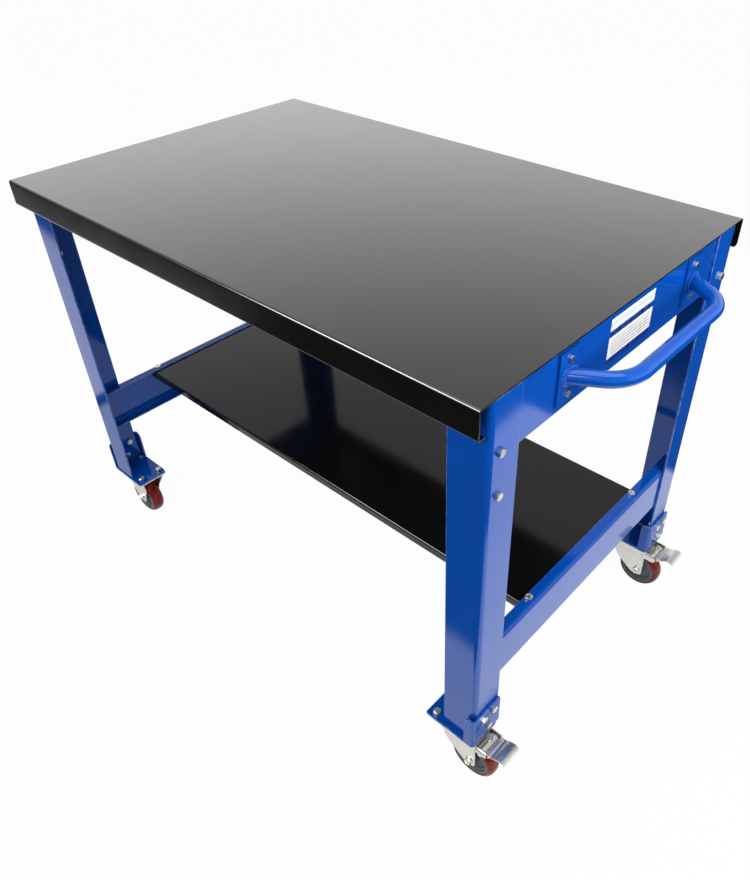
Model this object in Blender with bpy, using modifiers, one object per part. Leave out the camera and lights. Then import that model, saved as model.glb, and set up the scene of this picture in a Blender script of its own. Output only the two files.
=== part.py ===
"""Mobile workbench: folded steel top on four angle legs, lower shelf, push handle and four casters.

Bench frame, metres: X runs along the top towards the handle end, Y from the front to the back,
Z up from the floor. Everything hangs on one empty that moves the bench so that the middle of its
footprint is at the origin.
"""
import math

import bmesh
import bpy
from mathutils import Matrix, Vector

# Gaps between pieces
FIT = 0.0003           # between faces that rest on each other
HOLE_GAP = 0.0004      # round a bolt or pin in its hole, on the radius
WHEEL_GAP = 0.001      # each side of a wheel hub in its fork
SINK = 0.0005          # how far joined shapes reach into each other
NEAR = 0.0001          # how close an edge lies to the place that picks it
WELD = 0.000001        # points closer than this are one

# Bench top: one sheet, folded down along the front and back with a lip turned in below
TOP_LENGTH = 1.200
TOP_DEPTH = 0.760
TOP_HEIGHT = 0.910
TOP_SHEET = 0.002
TOP_FLANGE = 0.051
TOP_LIP = 0.014
TOP_BEND = 0.005

# Stiffener under the middle of the top
STIFF_WIDTH = 0.080
STIFF_DEPTH = 0.028
STIFF_BRIM = 0.022
STIFF_SHEET = 0.002

# Legs: folded angles, open towards the inside
LEG_SETBACK = 0.025
LEG_FRONT = 0.072
LEG_END = 0.068
LEG_SHEET = 0.004
LEG_BEND = 0.010
LEG_CLEAR = 0.001      # leg over the caster bolts

# Aprons: end plates under the top, with an ear behind each leg
APRON_DEPTH = 0.1115
APRON_SHEET = 0.003
APRON_FLANGE = 0.030
APRON_BEND = 0.006
EAR_DEPTH = 0.195
EAR_MARGIN = 0.004
APRON_BOLT_DROPS = (0.094, 0.172)
APRON_BOLT_INSET = 0.024

# Lower end rails and the shelf bolted under their top flanges
RAIL_TOP = 0.372
RAIL_DEPTH = 0.103
RAIL_FLANGE = 0.024
RAIL_SHEET = 0.003
RAIL_BEND = 0.008
SHELF_DEPTH = 0.398
SHELF_SHEET = 0.0015
SHELF_FOLD = 0.018
SHELF_BEND = 0.004
SHELF_END_GAP = 0.0005
SHELF_BOLT_INSET = 0.0155
SHELF_BOLT_SPACING = 0.364

# Push handle on the right apron
HANDLE_TUBE = 0.0254
HANDLE_REACH = 0.074
HANDLE_SPACING = 0.378
HANDLE_SHIFT = 0.015   # middle of the two pads, towards the back
HANDLE_LEAN = math.radians(30)   # the handle's arms lean towards each other
HANDLE_RADIUS = 0.068
HANDLE_DROP = 0.054
PAD_WIDTH = 0.050
PAD_HEIGHT = 0.088
PAD_SHEET = 0.004
PAD_CORNER = 0.003
PAD_BOLT_SPACING = 0.058

# Foot brackets: base plate, upstand outside the leg and a tab round one side of it
FOOT_SHEET = 0.004
FOOT_REACH = 0.110
FOOT_UPSTAND = 0.080
FOOT_BEND = 0.008
FOOT_EDGE = 0.002
FOOT_CORNER = 0.012
TAB_GAP = 0.0045
TAB_REACH = 0.023
TAB_CORNER = 0.018
FOOT_BOLT_SPACING = 0.029
FOOT_BOLT_DROP = 0.015
FOOT_BOLT_PITCH = 0.035

# Casters
CASTER_HEIGHT = 0.132
CASTER_INSET = 0.0525
CASTER_SHIFT = 0.005
PLATE_LENGTH = 0.100
PLATE_WIDTH = 0.072
PLATE_SHEET = 0.003
PLATE_CORNER = 0.008
PLATE_BOLT_X = 0.080
PLATE_BOLT_Y = 0.050
FORK_SHEET = 0.0025
FORK_BEND = 0.005
FORK_LOBE = 0.013
FORK_TOE = 0.009       # rounding of the fork's lower corners
RIGID_TOP = 0.076
RACE_HEIGHT = 0.006
RACE_RADIUS = 0.027
KINGPIN = 0.006
KINGPIN_HEAD = 0.010
KINGPIN_HEAD_HEIGHT = 0.004
TRAIL = 0.0375
CROWN_BACK = 0.031
CROWN_DROP = 0.024
CROWN_FRONT = 0.050
ARM_REACH = 0.078
ARM_DEPTH = 0.022
ARM_CORNER = 0.006

# Wheels
WHEEL_RADIUS = 0.050
WHEEL_WIDTH = 0.032
TREAD_DEPTH = 0.0105
TREAD_ROUND = 0.007
RIM_THICKNESS = 0.006
RIM_INSET = 0.001
WEB_THICKNESS = 0.010
HUB_RADIUS = 0.013
HUB_WIDTH = 0.034
SLEEVE = 0.0065
AXLE = 0.004

# Brake pedals on the two swivel casters
PEDAL_PIN = 0.003
PEDAL_PIN_HEAD = 0.0048
PEDAL_PIN_HEAD_HEIGHT = 0.0016
PEDAL_PIN_X = 0.065
PEDAL_PIN_DROP = 0.0235
PEDAL_EYE = 0.008
PEDAL_NECK = 0.030
PEDAL_WIDTH = 0.044
PEDAL_SHEET = 0.0025
PEDAL_REACH = 0.052
PEDAL_RISE = 0.004
PEDAL_LIP = 0.0145
PEDAL_BEND = 0.011
PEDAL_TRAVEL = math.radians(18)
SHOE_REACH = 0.0128
SHOE_WIDTH = 0.010
ARM_END_GAP = 0.003

# Hexagon bolts: shank radius, width across flats, head height, nut height
M8 = (0.004, 0.013, 0.0055, 0.0065)
M8_LOW = (0.004, 0.013, 0.004, 0.0065)
M6 = (0.003, 0.010, 0.004, 0.005)
BOLT_END = 0.003       # thread showing past the nut
SHORT_END = 0.001      # the same on the caster bolts, which stand under the legs
WASHER_FACE = 0.0008   # chamfer round a head or nut

BEND_STEPS = 4
ROUND_STEPS = 24
PIN_STEPS = 12
HOLE_STEPS = 8
HANDLE_STEPS = 8       # along each bend of the handle
TUBE_STEPS = 4         # round a quarter of the handle tube, beside its ends
SHARP_ANGLE = math.radians(35)

# Places worked out from the sizes above
LEG_X = TOP_LENGTH / 2
LEG_Y = TOP_DEPTH / 2 - LEG_SETBACK
LEG_MID_Y = LEG_Y - LEG_END / 2
UNDER_TOP = TOP_HEIGHT - TOP_SHEET - FIT
FOOT_BOTTOM = CASTER_HEIGHT
FOOT_TOP = FOOT_BOTTOM + FOOT_SHEET
LEG_FOOT = FOOT_TOP + FIT + M8_LOW[3] + SHORT_END + LEG_CLEAR
PANEL_X = LEG_X - LEG_SHEET - FIT          # outer face of aprons and rails, behind the leg flanges
PANEL_HALF = LEG_Y - LEG_BEND - FIT        # they stop where the leg's inner bend starts
SHELF_TOP = RAIL_TOP - RAIL_SHEET - FIT
PAD_FACE = PANEL_X + FIT + PAD_SHEET
HANDLE_Z = TOP_HEIGHT - HANDLE_DROP
FORK_GAP = HUB_WIDTH + 2 * WHEEL_GAP
FORK_HALF = FORK_GAP / 2 + FORK_SHEET
PLATE_TOP = FOOT_BOTTOM - FIT
PLATE_BOTTOM = PLATE_TOP - PLATE_SHEET
CROWN_TOP = PLATE_BOTTOM - RACE_HEIGHT - 2 * FIT
CROWN_BOTTOM = CROWN_TOP - FORK_SHEET
PEDAL_PIN_Z = PLATE_TOP - PEDAL_PIN_DROP
CORE_RADIUS = WHEEL_RADIUS - TREAD_DEPTH - FIT
FOOT_BOLT_Z = FOOT_BOTTOM + FOOT_UPSTAND - FOOT_BOLT_DROP
HANDLE_OUT = PAD_FACE + HANDLE_REACH + HANDLE_TUBE / 2
FOOT_FACE = FIT + FOOT_SHEET               # bracket's outer face, from the leg's end face
FOOT_OUT = LEG_X + FOOT_FACE + FIT + M8[2]

# How a flat outline is turned before it is placed: which way its thickness runs
ALONG_X = Matrix(((0, 0, 1), (1, 0, 0), (0, 1, 0))).to_4x4()
ALONG_Y = Matrix(((1, 0, 0), (0, 0, -1), (0, 1, 0))).to_4x4()
ALONG_Z = Matrix.Identity(4)


def clear_scene():
    for thing in list(bpy.data.objects):
        bpy.data.objects.remove(thing)


def paint(name, colour, roughness, metallic):
    material = bpy.data.materials.new(name)
    material.use_nodes = True
    shader = material.node_tree.nodes["Principled BSDF"]
    shader.inputs["Base Color"].default_value = (*colour, 1)
    shader.inputs["Roughness"].default_value = roughness
    shader.inputs["Metallic"].default_value = metallic
    return material


def rounded(points, radius, closed=False, steps=BEND_STEPS):
    """Points of a path whose corners are turned into arcs of one radius, or of one radius each."""
    count = len(points)
    radii = radius if isinstance(radius, (list, tuple)) else [radius] * count
    path = []
    for i, corner in enumerate(points):
        corner = Vector(corner)
        ends = not closed and i in (0, count - 1)
        if ends or radii[i] <= 0:
            path.append(tuple(corner))
            continue
        before = (Vector(points[i - 1]) - corner).normalized()
        after = (Vector(points[(i + 1) % count]) - corner).normalized()
        half = before.angle(after) / 2
        centre = corner + (before + after).normalized() * radii[i] / math.sin(half)
        start = corner + before * radii[i] / math.tan(half) - centre
        finish = corner + after * radii[i] / math.tan(half) - centre
        sweep = math.atan2(start.cross(finish), start.dot(finish))
        for step in range(steps + 1):
            spoke = start.copy()
            spoke.rotate(Matrix.Rotation(sweep * step / steps, 2))
            path.append(tuple(centre + spoke))
    return path


def folded(path, sheet, bend):
    """Closed outline of a folded sheet. The path is its outer face, with the material on its left."""
    inner = []
    for i, point in enumerate(path):
        sides = []
        for a, b in ((i - 1, i), (i, i + 1)):
            if a >= 0 and b < len(path):
                run = (Vector(path[b]) - Vector(path[a])).normalized()
                sides.append(Vector((-run.y, run.x)))
        shift = sides[0] if len(sides) == 1 else (sides[0] + sides[1]) / (1 + sides[0].dot(sides[1]))
        inner.append(tuple(Vector(point) + shift * sheet))
    return rounded(path, bend) + rounded(inner, max(bend - sheet, 0))[::-1]


def mirrored(path, side_x, side_y):
    """The path of a right-hand back piece, taken to another corner with its material still on the left."""
    turned = [(side_x * x, side_y * y) for x, y in path]
    return turned if side_x * side_y > 0 else turned[::-1]


def rectangle(x0, x1, y0, y1):
    return [(x0, y0), (x1, y0), (x1, y1), (x0, y1)]


def loose(name, mesh):
    """A working shape, taken away once it has been joined, cut or kept as a mesh."""
    shape = bpy.data.objects.new(name, mesh)
    bpy.context.scene.collection.objects.link(shape)
    return shape


def prism(outline, start, finish, turn=ALONG_Z):
    """Flat outline thickened from start to finish along the direction that turn gives."""
    curve = bpy.data.curves.new("outline", "CURVE")
    curve.dimensions = "2D"
    curve.fill_mode = "BOTH"
    curve.extrude = abs(finish - start) / 2
    spline = curve.splines.new("POLY")
    spline.points.add(len(outline) - 1)
    for point, (u, v) in zip(spline.points, outline):
        point.co = (u, v, 0, 1)
    spline.use_cyclic_u = True
    shape = loose("outline", curve)
    mesh = settled(shape)
    middle = turn.to_3x3() @ Vector((0, 0, (start + finish) / 2 * (-1 if turn is ALONG_Y else 1)))
    mesh.transform(Matrix.Translation(middle) @ turn)
    return loose("shape", mesh)


def turned(profile, steps, closed=False):
    """Profile of (radius, height) points, from the top down its outer side, turned about Z."""
    mesh = bpy.data.meshes.new("turned")
    form = bmesh.new()
    points = [form.verts.new((radius, 0, height)) for radius, height in profile]
    for a, b in zip(points, points[1:]):
        form.edges.new((a, b))
    if closed:
        form.edges.new((points[-1], points[0]))
    form.to_mesh(mesh)
    form.free()
    shape = loose("turned", mesh)
    screw = shape.modifiers.new("turn", "SCREW")
    screw.steps = steps
    screw.render_steps = steps
    screw.use_merge_vertices = True
    screw.merge_threshold = WELD
    return loose("shape", settled(shape))


def settled(shape):
    """Mesh of a working shape as its modifiers leave it. The shape itself is removed."""
    bpy.context.view_layer.update()
    graph = bpy.context.evaluated_depsgraph_get()
    mesh = bpy.data.meshes.new_from_object(shape.evaluated_get(graph))
    mesh.transform(shape.matrix_world)
    form = bmesh.new()
    form.from_mesh(mesh)
    bmesh.ops.remove_doubles(form, verts=form.verts, dist=WELD)
    form.to_mesh(mesh)
    form.free()
    bpy.data.objects.remove(shape)
    return mesh


def combined(base, *steps):
    """Joins tools to the base, cuts them from it or keeps what they share, one after another."""
    for kind, tool in steps:
        change = base.modifiers.new(kind.lower(), "BOOLEAN")
        change.operation = kind
        change.solver = "EXACT"
        change.object = tool
    mesh = settled(base)
    for kind, tool in steps:
        bpy.data.objects.remove(tool)
    return loose("shape", mesh)


def softened(shape, radius, places):
    """Rounds the edges of a working shape whose middles are at these places."""
    form = bmesh.new()
    form.from_mesh(shape.data)
    chosen = []
    for edge in form.edges:
        middle = (edge.verts[0].co + edge.verts[1].co) / 2
        if any((middle - Vector(place)).length < NEAR for place in places):
            chosen.append(edge)
    bmesh.ops.bevel(form, geom=chosen, offset=radius, segments=BEND_STEPS, profile=0.5, affect="EDGES")
    form.to_mesh(shape.data)
    form.free()


def gathered(shapes):
    """Several working shapes as one tool."""
    form = bmesh.new()
    for shape in shapes:
        form.from_mesh(settled(shape))
    mesh = bpy.data.meshes.new("tool")
    form.to_mesh(mesh)
    form.free()
    return loose("tool", mesh)


def rods(places, radius, start, finish, turn=ALONG_Z):
    """Round rods at places in the plane across turn, as one tool. Their flats lie at the radius."""
    form = bmesh.new()
    corner = radius / math.cos(math.pi / HOLE_STEPS)
    for u, v in places:
        middle = Vector((u, v, (start + finish) / 2 * (-1 if turn is ALONG_Y else 1)))
        bmesh.ops.create_cone(form, cap_ends=True, segments=HOLE_STEPS, radius1=corner, radius2=corner,
                              depth=abs(finish - start), matrix=turn @ Matrix.Translation(middle))
    mesh = bpy.data.meshes.new("rods")
    form.to_mesh(mesh)
    form.free()
    return loose("rods", mesh)


def bolt_shape(size, grip, sunk=0.0, end=BOLT_END):
    """Hexagon bolt along Z: the head sits on z = 0, the nut below the grip it clamps."""
    shank, flats, head, nut = size
    corner = flats / math.sqrt(3)
    nut_top = -grip - FIT
    under = FIT - sunk
    return turned([
        (0, head + FIT), (corner - WASHER_FACE, head + FIT), (corner, head + FIT - WASHER_FACE),
        (corner, under), (shank, under), (shank, nut_top), (corner, nut_top), (corner, nut_top - nut),
        (shank, nut_top - nut), (shank, nut_top - nut - end), (0, nut_top - nut - end)], 6)


def moved(shape, at, turn=None):
    shape.matrix_world = Matrix.Translation(at) @ (turn or Matrix.Identity(4))
    return loose("shape", settled(shape))


def aimed(shape, axis, at=(0, 0, 0)):
    """Turns a shape made along Z so that it points along an axis."""
    turn = Vector((0, 0, 1)).rotation_difference(Vector(axis))
    return moved(shape, at, turn.to_matrix().to_4x4())


class Bench:
    """The collection, the materials and the empty that carry the pieces."""

    def __init__(self):
        clear_scene()
        self.parts = bpy.data.collections.new("mobile_workbench")
        bpy.context.scene.collection.children.link(self.parts)
        self.finish = {
            "black": paint("black_powder_coat", (0.012, 0.012, 0.013), 0.35, 0.0),
            "blue": paint("blue_powder_coat", (0.005, 0.087, 0.52), 0.3, 0.0),
            "zinc": paint("zinc_plate", (0.62, 0.64, 0.62), 0.35, 1.0),
            "tread": paint("red_polyurethane", (0.22, 0.016, 0.012), 0.35, 0.0),
            "core": paint("grey_nylon", (0.10, 0.125, 0.135), 0.5, 0.0),
        }
        middle = (FOOT_OUT - HANDLE_OUT) / 2
        self.frame = self.empty("bench_frame", (middle, 0, 0))

    def empty(self, name, at, parent=None):
        marker = bpy.data.objects.new(name, None)
        marker.location = at
        marker.parent = parent
        self.parts.objects.link(marker)
        return marker

    def add(self, name, mesh, finish, at=(0, 0, 0), spin=0.0, parent=None):
        """A finished piece. Its mesh is about its own origin, which at places in its parent."""
        if not mesh.materials:
            mesh.materials.append(self.finish[finish])
            mesh.shade_smooth()
            mesh.set_sharp_from_angle(angle=SHARP_ANGLE)
        piece = bpy.data.objects.new(name, mesh)
        piece.location = at
        piece.rotation_euler = (0, 0, spin)
        piece.parent = parent or self.frame
        self.parts.objects.link(piece)
        return piece


ENDS = (("right", 1), ("left", -1))
SIDES = (("front", -1), ("back", 1))


def make_top(bench):
    back = TOP_DEPTH / 2
    low = TOP_HEIGHT - TOP_FLANGE
    path = [(back - TOP_LIP, low), (back, low), (back, TOP_HEIGHT),
            (-back, TOP_HEIGHT), (-back, low), (TOP_LIP - back, low)]
    sheet = prism(folded(path, TOP_SHEET, TOP_BEND), -TOP_LENGTH / 2, TOP_LENGTH / 2, ALONG_X)
    bench.add("bench_top", settled(sheet), "black")


def make_stiffener(bench):
    """Hat channel under the sheet: two brims on it and a trough between them."""
    half = STIFF_WIDTH / 2
    low = UNDER_TOP - STIFF_DEPTH
    wall = STIFF_SHEET
    outline = [(-half - STIFF_BRIM, UNDER_TOP), (-half - STIFF_BRIM, UNDER_TOP - wall),
               (-half, UNDER_TOP - wall), (-half, low), (half, low), (half, UNDER_TOP - wall),
               (half + STIFF_BRIM, UNDER_TOP - wall), (half + STIFF_BRIM, UNDER_TOP),
               (half - wall, UNDER_TOP), (half - wall, low + wall),
               (wall - half, low + wall), (wall - half, UNDER_TOP)]
    reach = PANEL_X - APRON_FLANGE - FIT
    bench.add("top_stiffener", settled(prism(outline, -reach, reach, ALONG_X)), "black")


def foot_bolt_places():
    """Bolts through the leg's end flange into the bracket, as (offset from the flange's middle, height)."""
    side = FOOT_BOLT_SPACING / 2
    return [(-side, FOOT_BOLT_Z), (side, FOOT_BOLT_Z), (0, FOOT_BOLT_Z - FOOT_BOLT_PITCH)]


def apron_bolt_heights():
    return [TOP_HEIGHT - drop for drop in APRON_BOLT_DROPS]


def make_legs(bench):
    corner = [(LEG_X, LEG_Y - LEG_END), (LEG_X, LEG_Y), (LEG_X - LEG_FRONT, LEG_Y)]
    for end, side_x in ENDS:
        for side, side_y in SIDES:
            outline = folded(mirrored(corner, side_x, side_y), LEG_SHEET, LEG_BEND)
            angle = prism(outline, LEG_FOOT, UNDER_TOP)
            places = [(side_y * LEG_MID_Y + side_x * y, z) for y, z in foot_bolt_places()]
            places += [(side_y * (LEG_Y - APRON_BOLT_INSET), z) for z in apron_bolt_heights()]
            holes = rods(places, M8[0] + HOLE_GAP, side_x * (LEG_X - LEG_FRONT / 2),
                         side_x * (LEG_X + LEG_SHEET), ALONG_X)
            bench.add(f"leg_{end}_{side}", settled(combined(angle, ("DIFFERENCE", holes))), "blue")


def pad_middle(side_y):
    return HANDLE_SHIFT + side_y * HANDLE_SPACING / 2


def pad_bolt_places():
    """Bolts of the two handle pads in the apron, as (y, z)."""
    half = PAD_BOLT_SPACING / 2
    return [(pad_middle(side_y), HANDLE_Z + up) for name, side_y in SIDES for up in (half, -half)]


def make_aprons(bench):
    low = TOP_HEIGHT - EAR_DEPTH
    ear = LEG_END - LEG_BEND - EAR_MARGIN
    for end, side_x in ENDS:
        path = [(PANEL_X, low), (PANEL_X, UNDER_TOP), (PANEL_X - APRON_FLANGE, UNDER_TOP)]
        plate = prism(folded(mirrored(path, side_x, 1), APRON_SHEET, APRON_BEND),
                      -PANEL_HALF, PANEL_HALF, ALONG_Y)
        between = PANEL_HALF - ear
        window = prism(rectangle(-between, between, low - APRON_SHEET, TOP_HEIGHT - APRON_DEPTH),
                       side_x * (PANEL_X - APRON_FLANGE), side_x * (PANEL_X + APRON_SHEET), ALONG_X)
        span = (side_x * (PANEL_X - APRON_FLANGE / 2), side_x * (PANEL_X + APRON_SHEET))
        bolts = [(side_y * (LEG_Y - APRON_BOLT_INSET), z)
                 for name, side_y in SIDES for z in apron_bolt_heights()]
        cuts = [("DIFFERENCE", window),
                ("DIFFERENCE", rods(bolts, M8[0] + HOLE_GAP, *span, ALONG_X))]
        if side_x > 0:
            cuts.append(("DIFFERENCE", rods(pad_bolt_places(), M6[0] + HOLE_GAP, *span, ALONG_X)))
        bench.add(f"apron_{end}", settled(combined(plate, *cuts)), "blue")
        for side, side_y in SIDES:
            for level, z in zip(("upper", "lower"), apron_bolt_heights()):
                bolt = aimed(bolt_shape(M8, LEG_SHEET + FIT + APRON_SHEET), (side_x, 0, 0))
                bench.add(f"leg_bolt_{end}_{side}_{level}", settled(bolt), "zinc",
                          (side_x * LEG_X, side_y * (LEG_Y - APRON_BOLT_INSET), z))


def shelf_bolt_places(side_x):
    x = side_x * (PANEL_X - SHELF_BOLT_INSET)
    return [(x, side_y * SHELF_BOLT_SPACING / 2) for name, side_y in SIDES]


def make_rails(bench):
    low = RAIL_TOP - RAIL_DEPTH
    for end, side_x in ENDS:
        path = [(PANEL_X - RAIL_FLANGE, low), (PANEL_X, low), (PANEL_X, RAIL_TOP),
                (PANEL_X - RAIL_FLANGE, RAIL_TOP)]
        channel = prism(folded(mirrored(path, side_x, 1), RAIL_SHEET, RAIL_BEND),
                        -PANEL_HALF, PANEL_HALF, ALONG_Y)
        holes = rods(shelf_bolt_places(side_x), M8[0] + HOLE_GAP,
                     RAIL_TOP - RAIL_DEPTH / 2, RAIL_TOP + RAIL_SHEET)
        bench.add(f"lower_rail_{end}", settled(combined(channel, ("DIFFERENCE", holes))), "blue")


def make_shelf(bench):
    back = SHELF_DEPTH / 2
    low = SHELF_TOP - SHELF_FOLD
    reach = PANEL_X - RAIL_BEND - SHELF_END_GAP
    path = [(back, low), (back, SHELF_TOP), (-back, SHELF_TOP), (-back, low)]
    sheet = prism(folded(path, SHELF_SHEET, SHELF_BEND), -reach, reach, ALONG_X)
    places = shelf_bolt_places(1) + shelf_bolt_places(-1)
    holes = rods(places, M8[0] + HOLE_GAP, SHELF_TOP - SHELF_FOLD, SHELF_TOP + SHELF_FOLD)
    bench.add("lower_shelf", settled(combined(sheet, ("DIFFERENCE", holes))), "black")
    for end, side_x in ENDS:
        for (side, side_y), (x, y) in zip(SIDES, shelf_bolt_places(side_x)):
            bolt = bolt_shape(M8, RAIL_SHEET + FIT + SHELF_SHEET)
            bench.add(f"shelf_bolt_{end}_{side}", settled(bolt), "zinc", (x, y, RAIL_TOP))


def make_handle(bench):
    """Bent tube between two pads that are bolted to the right apron."""
    out = PAD_FACE + HANDLE_REACH
    start = PAD_FACE - HANDLE_TUBE         # the arms start inside the pads and are cut off at their faces
    corners = []
    for side_y, ends in ((-1, (start, out)), (1, (out, start))):
        for x in ends:
            corners.append((x, pad_middle(side_y) - side_y * (x - PAD_FACE) * math.tan(HANDLE_LEAN)))
    route = rounded(corners, HANDLE_RADIUS, steps=HANDLE_STEPS)
    curve = bpy.data.curves.new("handle_tube", "CURVE")
    curve.dimensions = "3D"
    curve.bevel_depth = HANDLE_TUBE / 2
    curve.bevel_resolution = TUBE_STEPS
    curve.use_fill_caps = True
    spline = curve.splines.new("POLY")
    spline.points.add(len(route) - 1)
    for point, (x, y) in zip(spline.points, route):
        point.co = (x, y, HANDLE_Z, 1)
    tube = loose("tube", settled(loose("handle_tube", curve)))
    behind = prism(rectangle(start - HANDLE_TUBE, PAD_FACE + FIT, -HANDLE_SPACING, HANDLE_SPACING),
                   HANDLE_Z - HANDLE_TUBE, HANDLE_Z + HANDLE_TUBE)
    bench.add("handle_tube", settled(combined(tube, ("DIFFERENCE", behind))), "blue")
    for side, side_y in SIDES:
        y = pad_middle(side_y)
        shape = rectangle(y - PAD_WIDTH / 2, y + PAD_WIDTH / 2,
                          HANDLE_Z - PAD_HEIGHT / 2, HANDLE_Z + PAD_HEIGHT / 2)
        pad = prism(rounded(shape, PAD_CORNER, True), PANEL_X + FIT, PAD_FACE, ALONG_X)
        holes = rods(pad_bolt_places(), M6[0] + HOLE_GAP, PANEL_X, PAD_FACE + PAD_SHEET, ALONG_X)
        bench.add(f"handle_pad_{side}", settled(combined(pad, ("DIFFERENCE", holes))), "blue")
        for level, up in (("upper", 1), ("lower", -1)):
            bolt = aimed(bolt_shape(M6, PAD_SHEET + FIT + APRON_SHEET), (1, 0, 0))
            bench.add(f"handle_bolt_{side}_{level}", settled(bolt), "zinc",
                      (PAD_FACE, y, HANDLE_Z + up * PAD_BOLT_SPACING / 2))


def caster_bolt_places():
    """Bolt pattern of a caster about its own middle."""
    return [(x * PLATE_BOLT_X / 2, y * PLATE_BOLT_Y / 2) for x in (-1, 1) for y in (-1, 1)]


def foot_bracket_mesh():
    """Bracket about the middle of the leg's end face at floor level, with X pointing out of the bench."""
    tab_side = -LEG_END / 2 - TAB_GAP - FOOT_SHEET
    plain_side = LEG_END / 2 + FOOT_EDGE
    face = FOOT_FACE
    top = FOOT_BOTTOM + FOOT_UPSTAND
    block = prism(rectangle(-FOOT_REACH, face, tab_side, plain_side), FOOT_BOTTOM, top)
    softened(block, FOOT_BEND, [(face, (tab_side + plain_side) / 2, FOOT_BOTTOM),
                                (face, tab_side, (FOOT_BOTTOM + top) / 2)])
    clear, behind = FOOT_SHEET, tab_side + FOOT_SHEET
    room = [(-FOOT_REACH - clear, tab_side - clear), (-TAB_REACH, tab_side - clear), (-TAB_REACH, behind),
            (FIT, behind), (FIT, plain_side + clear), (-FOOT_REACH - clear, plain_side + clear)]
    bracket = combined(block, ("DIFFERENCE", prism(room, FOOT_TOP, top + clear)))
    softened(bracket, FOOT_CORNER, [(-FOOT_REACH, tab_side, FOOT_TOP - FOOT_SHEET / 2),
                                    (-FOOT_REACH, plain_side, FOOT_TOP - FOOT_SHEET / 2)])
    softened(bracket, TAB_CORNER, [(-TAB_REACH, tab_side + FOOT_SHEET / 2, top)])
    places = [(x - CASTER_INSET, y - CASTER_SHIFT) for x, y in caster_bolt_places()]
    holes = rods(places, M8[0] + HOLE_GAP, FOOT_BOTTOM - FOOT_SHEET, FOOT_TOP + FOOT_SHEET)
    bolts = [aimed(bolt_shape(M8, LEG_SHEET + FIT + FOOT_SHEET, SINK), (1, 0, 0), (face, y, z))
             for y, z in foot_bolt_places()]
    return settled(combined(bracket, ("DIFFERENCE", holes), ("UNION", gathered(bolts))))


def caster_plate():
    """Top plate of a caster about its own middle, with its four bolts standing through the bracket."""
    outline = rounded(rectangle(-PLATE_LENGTH / 2, PLATE_LENGTH / 2, -PLATE_WIDTH / 2, PLATE_WIDTH / 2),
                      PLATE_CORNER, True)
    plate = prism(outline, PLATE_BOTTOM, PLATE_TOP)
    grip = PLATE_SHEET + FIT + FOOT_SHEET
    upside_down = Matrix.Rotation(math.pi, 4, "X")
    bolts = [moved(bolt_shape(M8_LOW, grip, SINK, SHORT_END), (x, y, PLATE_BOTTOM), upside_down)
             for x, y in caster_bolt_places()]
    return plate, gathered(bolts)


def axle_holes(x):
    past = FORK_HALF + FORK_SHEET
    return rods([(x, WHEEL_RADIUS)], AXLE + HOLE_GAP, -past, past, ALONG_Y)


def rigid_fork_mesh():
    """Top plate of a fixed caster with its two fork legs."""
    plate, bolts = caster_plate()
    half = RIGID_TOP / 2
    low = WHEEL_RADIUS - FORK_LOBE
    high = PLATE_BOTTOM + SINK
    outline = rounded([(-half, high), (-FORK_LOBE, low), (FORK_LOBE, low), (half, high)],
                      [0, FORK_TOE, FORK_TOE, 0], True)
    legs = [prism(outline, side * FORK_GAP / 2, side * FORK_HALF, ALONG_Y) for side in (-1, 1)]
    return settled(combined(plate, ("UNION", gathered(legs)), ("DIFFERENCE", axle_holes(0)),
                            ("UNION", bolts)))


def swivel_plate_mesh():
    """Top plate of a swivel caster with the kingpin that its fork turns on."""
    plate, bolts = caster_plate()
    root = PLATE_BOTTOM + SINK
    head = CROWN_BOTTOM - FIT
    tip = head - KINGPIN_HEAD_HEIGHT
    pin = turned([(0, root), (KINGPIN, root), (KINGPIN, head), (KINGPIN_HEAD, head), (KINGPIN_HEAD, tip),
                  (0, tip)], PIN_STEPS)
    return settled(combined(plate, ("UNION", pin), ("UNION", bolts)))


def swivel_race_mesh():
    """Ball race between the plate and the fork's crown."""
    top = PLATE_BOTTOM - FIT
    low = CROWN_TOP + FIT
    inner = KINGPIN + HOLE_GAP
    section = [(RACE_RADIUS - WASHER_FACE, top), (RACE_RADIUS, top - WASHER_FACE), (RACE_RADIUS, low),
               (inner, low), (inner, top)]
    return settled(turned(section, ROUND_STEPS, True))


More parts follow.
